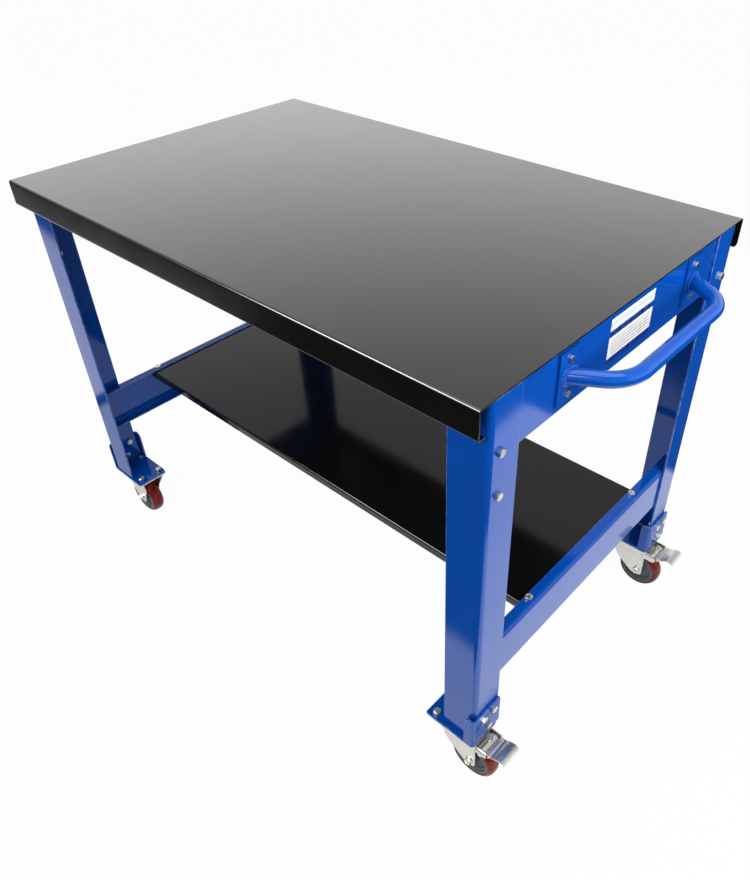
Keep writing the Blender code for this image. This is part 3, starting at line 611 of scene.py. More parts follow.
worktop = dict(
    sheet=0.003, bend=0.005, lip=0.014, edge=0.0004, channelSheet=0.002, channelBend=0.004, brim=0.022)


def buildWorktop():
    low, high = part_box("bench_top")
    lip = worktop["lip"]
    path = [(high.y - lip, low.z), (high.y, low.z), (high.y, high.z), (low.y, high.z), (low.y, low.z),
            (low.y + lip, low.z)]
    bm = foldedSheet(path, worktop["sheet"], worktop["bend"], low.x, high.x, "x", steps=10)
    addPiece("worktop", easeEdges(bm, worktop["edge"]), "topBlack", nodes=["bench_top"])

    low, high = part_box("top_stiffener")
    wall, brim = worktop["channelSheet"], worktop["brim"]
    under = high.z - wall
    path = [(low.y, under), (low.y + brim, under), (low.y + brim, low.z), (high.y - brim, low.z),
            (high.y - brim, under), (high.y, under)]
    bm = foldedSheet(path, wall, worktop["channelBend"], low.x, high.x, "x")
    addPiece("worktopChannel", easeEdges(bm, worktop["edge"]), "topBlack", nodes=["top_stiffener"])


# legs, end plates and rails

legs = dict(sheet=0.004, bend=0.010, edge=0.0009, longer=0.005, nutRoom=0.0082)
endPlates = dict(
    sheet=0.003, bend=0.006, depth=0.1115, ear=0.054, corner=0.006, edge=0.0005, boltGrip=0.0073,
    boltSpins=dict(upper=8, lower=41), spinDrift=13)
rails = dict(sheet=0.003, bend=0.008, edge=0.0005)


def buildLeg(end, side):
    endSign, sideSign = ends[end], sides[side]
    node = f"leg_{end}_{side}"
    low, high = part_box(node)
    face, inner = outerInner(low.x, high.x, endSign)
    flank, near = outerInner(low.y, high.y, sideSign)
    path = facing([(face, near), (face, flank), (inner, flank)], endSign * sideSign)
    foot = low.z - legs["longer"]
    bm = easeEdges(foldedSheet(path, legs["sheet"], legs["bend"], foot, high.z, "z", steps=10), legs["edge"])
    # room for the caster's nuts, which stand close inside two of the legs
    seat = middle(f"caster_{end}_{side}_{'plate' if endSign > 0 else 'fork'}")
    nut = seat + Vector((endSign * caster["boltX"], sideSign * caster["boltY"], 0)) / 2
    room = roundBar(legs["nutRoom"], foot - legs["sheet"], low.z, "z", (nut.x, nut.y))
    addPiece(titled("leg", end, side), carve(bm, ("DIFFERENCE", room)), "frameBlue", nodes=[node])


def buildEndPlate(end):
    node, endSign, ear = f"apron_{end}", ends[end], endPlates["ear"]
    low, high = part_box(node)
    face, inner = outerInner(low.x, high.x, endSign)
    path = facing([(face, low.z), (face, high.z), (inner, high.z)], endSign)
    plate = foldedSheet(path, endPlates["sheet"], endPlates["bend"], low.y, high.y, "y")
    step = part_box("bench_top")[1].z - endPlates["depth"]
    window = boxPath(low.y + ear, low.z - clear, high.y - ear, step,
                     [0, 0, endPlates["corner"], endPlates["corner"]])
    bm = carve(plate, ("DIFFERENCE", prism(window, low.x - clear, high.x + clear, "x")))
    addPiece(titled("endPlate", end), easeEdges(bm, endPlates["edge"]), "frameBlue", nodes=[node])
    for side in sides:
        for level, spin in endPlates["boltSpins"].items():
            bolt = f"leg_bolt_{end}_{side}_{level}"
            seat = middle(bolt)
            legLow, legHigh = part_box(f"leg_{end}_{side}")
            seat.x = outerInner(legLow.x, legHigh.x, endSign)[0]
            place = aim((endSign, 0, 0), seat, spin + endPlates["spinDrift"] * endSign * seat.y)
            boltPiece(titled("legBolt", end, side, level), bolt, "m8", endPlates["boltGrip"], place)


def buildRail(end):
    node = f"lower_rail_{end}"
    low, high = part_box(node)
    face, inner = outerInner(low.x, high.x, ends[end])
    path = facing([(inner, low.z), (face, low.z), (face, high.z), (inner, high.z)], ends[end])
    bm = foldedSheet(path, rails["sheet"], rails["bend"], low.y, high.y, "y", steps=10)
    addPiece(titled("lowerRail", end), easeEdges(bm, rails["edge"]), "frameBlue", nodes=[node])


# lower shelf, bolted under the rails

shelf = dict(
    sheet=0.0015, bend=0.004, edge=0.0003, boltGrip=0.0048, boltDish=0.0014, boltSpin=19, spinDrift=200)


def buildShelf():
    low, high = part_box("lower_shelf")
    path = [(high.y, low.z), (high.y, high.z), (low.y, high.z), (low.y, low.z)]
    bm = foldedSheet(path, shelf["sheet"], shelf["bend"], low.x, high.x, "x", steps=10)
    addPiece("lowerShelf", easeEdges(bm, shelf["edge"]), "shelfBlack", nodes=["lower_shelf"])
    for end, side in corners:
        bolt = f"shelf_bolt_{end}_{side}"
        seat = middle(bolt)
        seat.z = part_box(f"lower_rail_{end}")[1].z
        place = aim(up, seat, shelf["boltSpin"] + shelf["spinDrift"] * seat.y)
        boltPiece(titled("shelfBolt", end, side), bolt, "m8", shelf["boltGrip"], place, shelf["boltDish"])


# push handle, welded to two pads

handle = dict(
    lean=30.0, bend=0.068, around=40, bendSteps=22, padCorner=0.003, padEdge=0.0005, boltGrip=0.0073,
    boltSpins=dict(upper=12, lower=47), spinDrift=60)


def buildHandle():
    low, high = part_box("handle_tube")
    radius, level = (high.z - low.z) / 2, (high.z + low.z) / 2
    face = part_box("handle_pad_front")[1].x
    far = high.x - radius
    slope = math.tan(math.radians(handle["lean"]))
    front, back = middle("handle_pad_front").y, middle("handle_pad_back").y
    inward = slope * (far - face)
    route = arcPath([(face, front), (far, front + inward), (far, back - inward), (face, back)],
                    handle["bend"], steps=handle["bendSteps"])
    last = len(route) - 1
    bm = bmesh.new()
    rings = []
    for i, point in enumerate(route):
        run = (route[min(i + 1, last)] - route[max(i - 1, 0)]).normalized()
        across = Vector((-run.y, run.x, 0))
        rings.append([])
        for k in range(handle["around"]):
            turn = 2 * math.pi * k / handle["around"]
            spot = Vector((point.x, point.y, level))
            spot += across * radius * math.cos(turn) + up * radius * math.sin(turn)
            if i in (0, last):      # ends cut to lie on the pads
                spot += run.to_3d() * (face - spot.x) / run.x
            rings[-1].append(bm.verts.new(spot))
    bridgeRings(bm, rings)
    addPiece("handleTube", bm, "frameBlue", nodes=["handle_tube"])

    for side, y, leanSign in (("front", front, 1), ("back", back, -1)):
        low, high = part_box(f"handle_pad_{side}")
        bm = prism(boxPath(low.y, low.z, high.y, high.z, handle["padCorner"], steps=5), low.x, high.x, "x")
        addPiece(titled("handlePad", side), easeEdges(bm, handle["padEdge"], wear=0.0), "frameBlue",
                 nodes=[f"handle_pad_{side}"])
        addPiece(titled("handleWeld", side), weldBead(Vector((face, y, level)), radius, slope * leanSign),
                 "frameBlue")
        for lift, spin in handle["boltSpins"].items():
            bolt = f"handle_bolt_{side}_{lift}"
            seat = middle(bolt)
            seat.x = high.x
            place = aim((1, 0, 0), seat, spin + handle["spinDrift"] * y)
            boltPiece(titled("handleBolt", side, lift), bolt, "m6", handle["boltGrip"], place)


bead = dict(
    size=0.0042, around=152, section=7, ripples=17, steady=0.80, ripple=0.16, sway=0.10, swayStart=1.1,
    drift=0.6, swell=0.12, inside=0.0006, sink=0.0004)


def weldBead(centre, radius, slope):
    # rippled fillet round the slanted foot of the tube
    bm = bmesh.new()
    rings = []
    stretch = math.hypot(1, slope)
    sunk = Vector((bead["sink"], 0, 0))
    for k in range(bead["around"]):
        turn = 2 * math.pi * k / bead["around"]
        ripple = abs(math.sin(bead["ripples"] * turn + bead["drift"] * math.sin(3 * turn)))
        sway = math.sin(2 * turn + bead["swayStart"])
        size = bead["size"] * (bead["steady"] + bead["ripple"] * ripple + bead["sway"] * sway)
        foot = centre + Vector((0, stretch * math.cos(turn), math.sin(turn))) * radius
        spoke = Vector((0, math.cos(turn) / stretch, math.sin(turn))).normalized()
        inside = foot - spoke * bead["inside"]
        ring = []
        for j in range(bead["section"]):
            lean = math.pi / 2 * j / (bead["section"] - 1)
            swell = size * (1 + bead["swell"] * math.sin(2 * lean))
            rise = swell * math.sin(lean)
            ring.append(foot + spoke * swell * math.cos(lean) + Vector((rise, slope * rise, 0)))
        ring += [inside + Vector((size, slope * size, 0)), inside - sunk, foot + spoke * size - sunk]
        rings.append([bm.verts.new(point) for point in ring])
    bridgeRings(bm, rings, True)
    return bm


# label on the end plate

label = dict(
    width=0.132, height=0.080, across=0.007, drop=0.0565, thick=0.0003, corner=0.0015, edge=0.0001,
    white=(0.86, 0.86, 0.85), handled=(0.80, 0.80, 0.79), rule=(0.34, 0.35, 0.37),
    bands=((0.60, 0.74, (0.004, 0.03, 0.20)), (0.0, 0.13, (0.004, 0.03, 0.20)),
           (0.755, 0.77, (0.30, 0.31, 0.33)), (0.82, 0.93, (0.55, 0.60, 0.68))),    # low, high, colour
    rules=5, firstRule=0.20, ruleStep=0.075, ruleWidth=0.018, margin=0.07, rough=0.3, leastRough=0.26,
    film=0.12, smear=40.0, bump=0.03, depth=0.0003)


def labelVinyl(name, high):
    # white vinyl printed with plain blue bands and thin grey rules
    material, shader = newFinish(name, Roughness=label["rough"])
    where = splitVector(objectPoint())
    film = placeGroup(handlingFilm, Smear_Scale=label["smear"])["Film"]

    def share(axis, centre, length):
        return mathNode("DIVIDE", mathNode("SUBTRACT", where[axis], centre - length / 2), length)

    def band(value, low, top):
        return times(mathNode("GREATER_THAN", value, low), mathNode("LESS_THAN", value, top))

    along, rise = share("Y", label["across"], label["width"]), share("Z", high, label["height"])
    inset = band(along, label["margin"], 1 - label["margin"])
    colour = mixColour(film, label["white"], label["handled"])
    for low, top, tone in label["bands"]:
        colour = mixColour(band(rise, low, top), colour, tone)
    for k in range(label["rules"]):
        low = label["firstRule"] + label["ruleStep"] * k
        colour = mixColour(times(band(rise, low, low + label["ruleWidth"]), inset), colour, label["rule"])
    dress(shader, colour, timesPlus(film, label["film"], label["leastRough"]), film, label)
    return material


def buildLabel():
    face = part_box("apron_right")[1].x
    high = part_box("bench_top")[1].z - label["drop"]
    x, y = label["width"] / 2, label["height"] / 2
    outline = boxPath(label["across"] - x, high - y, label["across"] + x, high + y, label["corner"], steps=5)
    finishes["vinyl"] = dict(slot=None, material=labelVinyl("labelVinyl", high))
    bm = prism(outline, face, face + label["thick"], "x")
    addPiece("endPlateLabel", easeEdges(bm, label["edge"], steps=1), "vinyl")


# foot brackets under the legs

footBracket = dict(
    sheet=0.004, reach=0.110, bend=0.008, edge=0.0006,
    corners=dict(right=(0.003, 0.006), left=(0.012, 0.006)), tabGap=0.0045, tabReach=0.0185,
    tabCorner=0.014, tabCut=0.0005, plainCorner=0.007, boltSpacing=0.029, boltDrop=0.015, boltPitch=0.035,
    boltGrip=0.0083, boltSpins=(5, 33, 21))


def buildFootBracket(end, side):
    # worked about the middle of the leg's end face at floor level, with X pointing out of the bench
    foot, sheet, reach = footBracket, footBracket["sheet"], footBracket["reach"]
    node, name = f"foot_bracket_{end}_{side}", titled("footBracket", end, side)
    legLow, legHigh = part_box(f"leg_{end}_{side}")
    low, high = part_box(node)
    bottom, top = low.z, high.z
    place = Matrix.Translation((outerInner(legLow.x, legHigh.x, ends[end])[0], (legLow.y + legHigh.y) / 2, 0))
    place = place @ Matrix.Rotation(0 if ends[end] > 0 else math.pi, 4, "Z")
    tab = -(legHigh.y - legLow.y) / 2 - foot["tabGap"] - sheet
    plain = high.y - low.y + tab
    face, behind, floor = seatGap + sheet, tab + sheet, bottom + sheet
    block = prism(boxPath(-reach, tab, face, plain), bottom, top, "z")
    roundEdges(block, foot["bend"], [(face, (tab + plain) / 2, bottom), (face, tab, (bottom + top) / 2)],
               steps=8)
    room = prism(boxPath(-reach - clear, behind, seatGap, plain + clear), floor, top + clear, "z")
    roundEdges(room, foot["bend"] - sheet, [(seatGap, (behind + plain + clear) / 2, floor),
                                            (seatGap, behind, (floor + top + clear) / 2)], steps=8)
    besideTab = boxPath(-reach - clear, tab - clear, -foot["tabReach"], behind + foot["tabCut"])
    bm = carve(block, ("DIFFERENCE", room), ("DIFFERENCE", prism(besideTab, floor, top + clear, "z")))
    for radius, y in zip(foot["corners"][end], (tab, plain)):
        roundEdges(bm, radius, [(-reach, y, floor - sheet / 2)])
    roundEdges(bm, foot["tabCorner"], [(-foot["tabReach"], tab + sheet / 2, top)], steps=10)
    roundEdges(bm, foot["plainCorner"], [((face + seatGap) / 2, plain, top)], steps=8)
    addPiece(name, easeEdges(bm, foot["edge"]), "frameBlue", nodes=[node], place=place)
    bolts = bmesh.new()
    boltTop, half = top - foot["boltDrop"], foot["boltSpacing"] / 2
    seats = ((-half, boltTop), (half, boltTop), (0, boltTop - foot["boltPitch"]))
    for (y, z), spin in zip(seats, foot["boltSpins"]):
        addBolt(bolts, "m8", foot["boltGrip"], aim((1, 0, 0), (face, y, z), spin))
    addPiece(f"{name}Bolts", bolts, "zinc", place=place, sharpAngle=hexagon["sharpAngle"])


# casters

caster = dict(
    length=0.113, width=0.076, plateCorner=0.008, plateSheet=0.003, plateEdge=0.0004, boltX=0.080,
    boltY=0.050, boltEnd=0.001, boltGrip=0.0073, boltSpin=11, spinStep=26, forkSheet=0.0025,
    forkEdge=0.0003, lobe=0.013, toe=0.009, knee=0.088, kneeBend=0.030, crownBend=0.006, rigidTop=0.096,
    rigidWide=0.0335, rigidRoot=0.012, rigidCorner=0.012, rigidSink=0.0004, rigidPlay=0.002, axle=0.004,
    washer=0.0088, washerSheet=0.0012, washerEdge=0.0004, headTurn=0.35, axleEnd=0.0095, kingpin=0.006,
    kingpinHead=0.010, kingpinRim=0.003, kingpinEase=0.001, kingpinSteps=40)


def casterPlate(height):
    # top plate about the caster's own axis, without its bolts
    x, y = caster["length"] / 2, caster["width"] / 2
    return prism(boxPath(-x, -y, x, y, caster["plateCorner"], steps=6), height - caster["plateSheet"], height,
                 "z")


def addCasterBolts(title, height, atAxis):
    # heads under the plate, nuts on top of the bracket
    bm = bmesh.new()
    for k, (x, y) in enumerate(((-1, -1), (-1, 1), (1, -1), (1, 1))):
        seat = (x * caster["boltX"] / 2, y * caster["boltY"] / 2, height - caster["plateSheet"])
        place = aim((0, 0, -1), seat, caster["boltSpin"] + caster["spinStep"] * k)
        addBolt(bm, "m8Low", caster["boltGrip"], place, end=caster["boltEnd"])
    addPiece(f"{title}PlateBolts", bm, "zinc", place=atAxis, sharpAngle=hexagon["sharpAngle"])


def forkShell(half, wide, low, top, start, stop):
    # sheet bent down at both sides, which are drawn in from the top to the knee
    path = [(half, low), (half, caster["knee"]), (wide, top)]
    path += [(-y, z) for y, z in reversed(path)]
    bends = [caster["kneeBend"], caster["crownBend"], caster["crownBend"], caster["kneeBend"]]
    return foldedSheet(path, caster["forkSheet"], bends, start, stop, "x")


wheel = dict(
    radius=0.050, width=0.032, treadDepth=0.0105, crown=0.0098, shoulder=0.0128, shoulderSteps=14,
    flankInset=0.0005, seam=0.00012, seamHalf=0.0006, rim=0.0055, rimInset=0.001, web=0.011, hub=0.0125,
    hubWidth=0.034, hubEase=0.0006, bore=0.0066, sleeve=0.0063, sleevePlay=0.0002, sleeveSteps=32, steps=96,
    coreAngle=30, treadAngle=40, hubFillet=((0.0014, 0.002), (0.0036, 0.0)),
    webFillet=((-0.0080, 0.0), (-0.0050, 0.0012)),
    rimSteps=((-0.0032, -0.0046), (-0.0020, -0.0040), (-0.0006, -0.0036), (0.0, -0.0026),
              (0.0002, -0.0006), (0.0008, 0.0)))


def wheelCore():
    # turned section of the moulded core: hub, dished web and flat rim
    outer = wheel["radius"] - wheel["treadDepth"] - seatGap
    rim = wheel["width"] / 2 - wheel["rimInset"]
    hub, web, ease = wheel["hubWidth"] / 2, wheel["web"] / 2, wheel["hubEase"]
    half = [(wheel["bore"], hub), (wheel["hub"] - ease, hub), (wheel["hub"], hub - ease)]
    half += [(wheel["hub"] + r, web + h) for r, h in wheel["hubFillet"]]
    half += [(outer - wheel["rim"] + r, web + h) for r, h in wheel["webFillet"]]
    half += [(outer - wheel["rim"] + r, rim + h) for r, h in wheel["rimSteps"]] + [(outer, rim)]
    return lathe(bmesh.new(), bothSides(half), wheel["steps"], alongY, True)


def wheelTread():
    # bonded tyre, round in section, with the faint seam of its mould
    half, top, steps = wheel["width"] / 2, wheel["radius"], wheel["shoulderSteps"]
    flank = [(top - wheel["treadDepth"], half - wheel["flankInset"])]
    for k in range(steps + 1):
        turn = math.pi / 2 * k / steps
        flank.append((top - wheel["crown"] * (1 - math.sin(turn)),
                      half - wheel["shoulder"] * (1 - math.cos(turn))))
    flank.append((top, wheel["seamHalf"]))
    return lathe(bmesh.new(), bothSides(flank, [(top + wheel["seam"], 0.0)]), wheel["steps"], alongY, True)


def axleBolt(forkHalf):
    # hexagon head and nut on washers outside the fork, sleeve between its sides
    bm = bmesh.new()
    bolt = boltSizes["m8"]
    seat = forkHalf + seatGap
    bearing = seat + caster["washerSheet"]
    washer = boxPath(bolt["shank"], seat, caster["washer"], bearing,
                     [0, caster["washerEdge"], caster["washerEdge"], 0], steps=3)
    for sign, height in ((1, bolt["head"]), (-1, bolt["nut"])):
        place = alongY if sign > 0 else alongY @ Matrix.Rotation(math.pi, 4, "X")
        lathe(bm, washer, hexagon["steps"], place, True)
        turned = place @ Matrix.Rotation(caster["headTurn"] * sign, 4, "Z")
        hexBlock(bm, turned, bolt["flats"], bearing, bearing + height, True)
    threadedEnd(bm, alongY, bolt["shank"], bolt["pitch"], -bearing - bolt["nut"] + bolt["pitch"],
                -seat - caster["axleEnd"])
    sleeve = forkHalf - caster["forkSheet"] - wheel["sleevePlay"]
    lathe(bm, [(wheel["sleeve"], -sleeve), (wheel["sleeve"], sleeve)], wheel["sleeveSteps"], alongY)
    return bm


def addWheel(name, title, body, frameBody, centre, forkHalf):
    place = Matrix.Translation(centre)
    addPiece(f"{title}Core", wheelCore(), "core", body, [f"{name}_wheel_core"], place, wheel["coreAngle"])
    addPiece(f"{title}Tread", wheelTread(), "tread", body, [f"{name}_wheel_tread"], place,
             wheel["treadAngle"])
    addPiece(f"{title}Axle", axleBolt(forkHalf), "zinc", frameBody, [f"{name}_axle"], place,
             hexagon["sharpAngle"])


def rigidFork(height, wheelHeight, gap):
    # two tapered sides folded down from the plate and drawn in towards the wheel
    wide, lobe, toe = caster["rigidWide"], caster["lobe"], caster["toe"]
    end, corner = caster["rigidTop"] / 2, caster["rigidCorner"]
    low, root = wheelHeight - lobe, height - caster["rigidRoot"]
    shell = forkShell(gap / 2 + caster["forkSheet"], wide, low, height - caster["rigidSink"],
                      -end - past, end + past)
    outline = arcPath([(-lobe, low), (lobe, low), (end, root), (end, height), (-end, height), (-end, root)],
                      [toe, toe, corner, 0, 0, corner], True)
    return carve(shell, ("INTERSECT", prism(outline, -2 * wide, 2 * wide, "y")))


swivel = dict(
    trail=0.0375, back=0.031, drop=0.045, front=0.050, reach=0.078, armDepth=0.022, armRoot=0.005,
    armCorner=0.011, armTip=0.003, armFlange=0.0055, shoulder=0.060, flare=0.009, crownCorner=0.009,
    openingCorner=0.004, pinX=0.065, slotX=0.0455, slotDrop=0.012, slotRadius=0.0021, slotSteps=24)


def swivelFork(crownTop, wheelHeight, half, pinHeight):
    # pressed fork about its swivel axis: crown, two sides to the axle and two arms to the pedal
    lobe, toe, trail = caster["lobe"], caster["toe"], swivel["trail"]
    back, reach = swivel["back"], swivel["reach"]
    wide = half + swivel["flare"]
    low, above, armLow = wheelHeight - lobe, crownTop + past, crownTop - swivel["armDepth"]
    shell = forkShell(half, wide, low, crownTop, -back, reach)
    side = [(-back, crownTop - swivel["drop"]), (trail - lobe, low), (trail + lobe, low),
            (trail + lobe, armLow), (reach, armLow), (reach, above), (-back, above)]
    rounds = [swivel["shoulder"], toe, toe, swivel["armRoot"], swivel["armCorner"], swivel["armTip"], 0]
    side = prism(arcPath(side, rounds, True, steps=12), -2 * half, 2 * half, "y")
    corner = swivel["crownCorner"]
    plan = boxPath(-back, -wide - past, reach + past, wide + past, [corner, 0, 0, corner], steps=10)
    inside, corner = wide - swivel["armFlange"], swivel["openingCorner"]
    opening = boxPath(swivel["front"], -inside, reach + clear, inside, [corner, 0, 0, corner], steps=6)
    under = crownTop - caster["forkSheet"] - 2 * past
    pivot = roundBar(caster["kingpin"] + boreGap, crownTop - clear, crownTop + clear, "z")
    slot = swivel["slotX"], crownTop - swivel["slotDrop"]

    def cross(radius, x, z, count=32):
        return "DIFFERENCE", roundBar(radius, -2 * half, 2 * half, "y", (x, z), count)

    return carve(shell, ("INTERSECT", side), ("INTERSECT", prism(plan, low - past, above + past, "z")),
                 ("DIFFERENCE", prism(opening, under, above + past, "z")), ("DIFFERENCE", pivot),
                 cross(caster["axle"] + boreGap, trail, wheelHeight),
                 cross(pedal["pin"] + boreGap, swivel["pinX"], pinHeight),
                 cross(swivel["slotRadius"], *slot, swivel["slotSteps"]))


race = dict(
    radius=0.0305, bore=0.0005, step=0.001, upperSeam=0.0004, lowerSeam=0.0002, edge=0.0012,
    upperLip=0.0006, lowerLip=0.0008, cageInset=0.003, cageLow=0.0006, cageHigh=0.0008, steps=64)


def swivelRace(low, high):
    # two pressed cups with a cage and a seam between them
    mid = (low + high) / 2
    inner, outer = caster["kingpin"] + race["bore"], race["radius"]
    bm = bmesh.new()
    for profile in (boxPath(inner, high, outer - race["step"], mid + race["upperSeam"],
                            [0, race["edge"], race["upperLip"], 0], steps=5),
                    boxPath(inner, mid - race["lowerSeam"], outer, low,
                            [0, race["lowerLip"], race["edge"], 0], steps=5),
                    boxPath(inner, mid - race["cageLow"], outer - race["cageInset"], mid + race["cageHigh"])):
        lathe(bm, profile, race["steps"], closed=True)
    return bm


pedal = dict(
    barrel=0.0105, barrelEase=0.0008, barrelSteps=56, neck=0.040, neckInset=0.001, width=0.047,
    sheet=0.0025, ridge=0.0125, dip=0.0012, dipReach=0.009, rise=0.0085, hump=0.016, humpRise=0.0015,
    floor=0.004, tail=0.0135, lip=0.0125, tuck=0.003, bends=[0.008, 0.030, 0.012, 0.002, 0.0032],
    tipCorner=0.005, rootCut=0.0005, endGap=0.003, shoeReach=0.0128, shoeHalf=0.0145, shoeWidth=0.010,
    travel=18, edge=0.0004, easeLimit=0.75, pin=0.003, pinHead=0.0048, pinHeadHeight=0.0016, pinEase=0.0006,
    pinSteps=36, screw=0.009, screwHeight=0.0042, screwY=0.0065, screwDish=0.0018)


def pedalTongue(reach):
    # stepped neck and wide tongue with a rolled lip
    root = swivel["reach"] - swivel["pinX"] + pedal["endGap"]
    ridge, floor, half = pedal["ridge"], pedal["floor"], pedal["width"] / 2
    crest = ridge + pedal["rise"]
    path = [(reach + pedal["tuck"], crest - pedal["lip"]), (reach, crest - pedal["humpRise"]),
            (reach - pedal["hump"], crest), (root + pedal["dipReach"], ridge - pedal["dip"]), (root, ridge),
            (root, floor), (-pedal["tail"], floor)]
    tongue = foldedSheet(path, pedal["sheet"], pedal["bends"], -half, half, "y", steps=10)
    neck, wide = pedal["neck"] / 2 - pedal["neckInset"], half + past
    end, root = reach + 2 * pedal["tuck"], root - pedal["rootCut"]
    plan = [(-end, -neck), (root, -neck), (root, -wide), (end, -wide)]
    plan += [(x, -y) for x, y in reversed(plan)]
    tongue = carve(tongue, ("INTERSECT", prism(plan, -reach, reach, "z")))
    tips = [edge for edge in tongue.edges if abs(edge.calc_length() - pedal["sheet"]) < sameSpot
            and min(vert.co.x for vert in edge.verts) > reach - pedal["sheet"]]
    bevelEdges(tongue, tips, pedal["tipCorner"], steps=6)
    return tongue


def brakePedal(pinHeight, wheelHeight, reach):
    # about its pin: barrel, shoe that turns towards the tread, tongue and set screw
    radius, ease, half = pedal["barrel"], pedal["barrelEase"], pedal["neck"] / 2
    barrel = outward(lathe(bmesh.new(), bothSides([(radius - ease, -half), (radius, -half + ease)]),
                           pedal["barrelSteps"], alongY))
    toWheel = Vector((swivel["trail"] - swivel["pinX"], wheelHeight - pinHeight)).normalized()
    toWheel.rotate(Matrix.Rotation(math.radians(pedal["travel"]), 2))
    across = Vector((-toWheel.y, toWheel.x)) * pedal["shoeWidth"] / 2
    tip = toWheel * pedal["shoeReach"]
    shoe = prism([across, tip + across, tip - across, -across], -pedal["shoeHalf"], pedal["shoeHalf"], "y")
    bore = roundBar(pedal["pin"] + boreGap, -pedal["width"], pedal["width"], "y")
    body = carve(barrel, ("UNION", shoe), ("UNION", pedalTongue(reach)), ("DIFFERENCE", bore))
    screw = bmesh.new()
    hexBlock(screw, Matrix.Translation((0, pedal["screwY"], 0)), pedal["screw"],
             math.sqrt(radius ** 2 - (pedal["screw"] / 2) ** 2), radius + pedal["screwHeight"], True,
             pedal["screwDish"])
    return merged(easeEdges(body, pedal["edge"], limit=pedal["easeLimit"]), screw)


def buildSwivelCaster(side):
    name, title = f"caster_right_{side}", titled("casterRight", side)
    turning, rolling, braking = f"swivel_{side}", f"wheel_right_{side}", f"brake_{side}"
    raceLow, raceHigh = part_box(f"{name}_race")
    axis = (raceLow + raceHigh) / 2
    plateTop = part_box(f"foot_bracket_right_{side}")[0].z - seatGap
    forkLow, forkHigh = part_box(f"{name}_fork")
    forkHalf, crownTop = (forkHigh.y - forkLow.y) / 2, forkHigh.z
    centre = middle(f"{name}_wheel_core")
    pin = middle(f"{name}_pedal_pin")
    place = Matrix.Translation((axis.x, axis.y, 0))

    plate = easeEdges(casterPlate(plateTop), caster["plateEdge"])
    radius, wide, ease = caster["kingpin"], caster["kingpinHead"], caster["kingpinEase"]
    head = crownTop - caster["forkSheet"] - seatGap
    rim = head - caster["kingpinRim"]
    profile = [(radius, plateTop - past), (radius, head), (wide, head), (wide, rim),
               (wide - ease, rim - ease)]
    kingpin = lathe(bmesh.new(), profile, caster["kingpinSteps"])
    addPiece(f"{title}Plate", merged(plate, kingpin), "zinc", "frame", [f"{name}_plate"], place)
    addCasterBolts(title, plateTop, place)
    addPiece(f"{title}Race", swivelRace(raceLow.z, raceHigh.z), "zinc", turning, [f"{name}_race"], place)
    fork = swivelFork(crownTop, centre.z, forkHalf, pin.z)
    addPiece(f"{title}Fork", easeEdges(fork, caster["forkEdge"]), "zinc", turning, [f"{name}_fork"], place)
    addWheel(name, title, rolling, turning, centre, forkHalf)

    # the fork's arms spread from the knee up to the crown
    spreading = swivel["flare"] * max(0.0, pin.z - caster["knee"]) / (crownTop - caster["knee"])
    half = forkHalf + spreading + seatGap
    radius, wide, ease = pedal["pin"], pedal["pinHead"], pedal["pinEase"]
    tip = half + pedal["pinHeadHeight"]
    profile = bothSides([(wide - ease, tip), (wide, tip - ease), (wide, half), (radius, half)])
    atPin = Matrix.Translation(pin)
    addPiece(f"{title}PedalPin", lathe(bmesh.new(), profile, pedal["pinSteps"], alongY), "zinc", turning,
             [f"{name}_pedal_pin"], atPin)
    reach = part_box(f"{name}_brake_pedal")[1].x - pin.x
    addPiece(f"{title}BrakePedal", brakePedal(pin.z, centre.z, reach), "zinc", braking,
             [f"{name}_brake_pedal"], atPin)


def buildFixedCaster(side):
    name, title = f"caster_left_{side}", titled("casterLeft", side)
    centre = middle(f"{name}_wheel_core")
    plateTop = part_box(f"foot_bracket_left_{side}")[0].z - seatGap
    gap = wheel["hubWidth"] + caster["rigidPlay"]
    forkHalf = gap / 2 + caster["forkSheet"]
    place = Matrix.Translation((centre.x, centre.y, 0))
    axle = roundBar(caster["axle"] + boreGap, -2 * forkHalf, 2 * forkHalf, "y", (0, centre.z))
    body = carve(casterPlate(plateTop), ("UNION", rigidFork(plateTop, centre.z, gap)), ("DIFFERENCE", axle))
    addPiece(f"{title}Fork", easeEdges(body, caster["forkEdge"]), "zinc", "frame", [f"{name}_fork"], place)
    addCasterBolts(title, plateTop, place)
    addWheel(name, title, f"wheel_left_{side}", "frame", centre, forkHalf)


buildWorktop()
for end, side in corners:
    buildLeg(end, side)
for end in ends:
    buildEndPlate(end)
for end in ends:
    buildRail(end)
buildShelf()
buildHandle()
buildLabel()
print("bench and handle built")
for end, side in corners:
    buildFootBracket(end, side)
for side in sides:
    buildSwivelCaster(side)
    buildFixedCaster(side)
print("feet and casters built")


# floor, light and camera

studio = dict(
    floorSize=40.0, paperTone=(0.7, 0.7, 0.7), darkReflectionTone=(0.03, 0.03, 0.03), white=(1.0, 1.0, 1.0),
    papers=(((0.66, 1.19), (-0.58, 0.72), 0.95), ((-1.1, 0.62), (-0.58, 0.72), 0.35),
            ((-4.0, -1.2), (-1.1, 1.2), 0.9)),      # range in X, range in Y, share of painted glow in reflections
    edgeSoft=0.04, paperShare=0.97, reflectionGlowBoost=0.25,
    sky=((0.0, 1.0), (0.3, 0.983), (0.57, 0.462), (1.0, 0.385)), skyBoost=0.17, frontDim=0.82,
    frontEdge=(-0.22, 0.02), fillDim=0.44)


def clearTree(owner):
    owner.use_nodes = True
    owner.node_tree.nodes.clear()
    current["tree"] = owner.node_tree


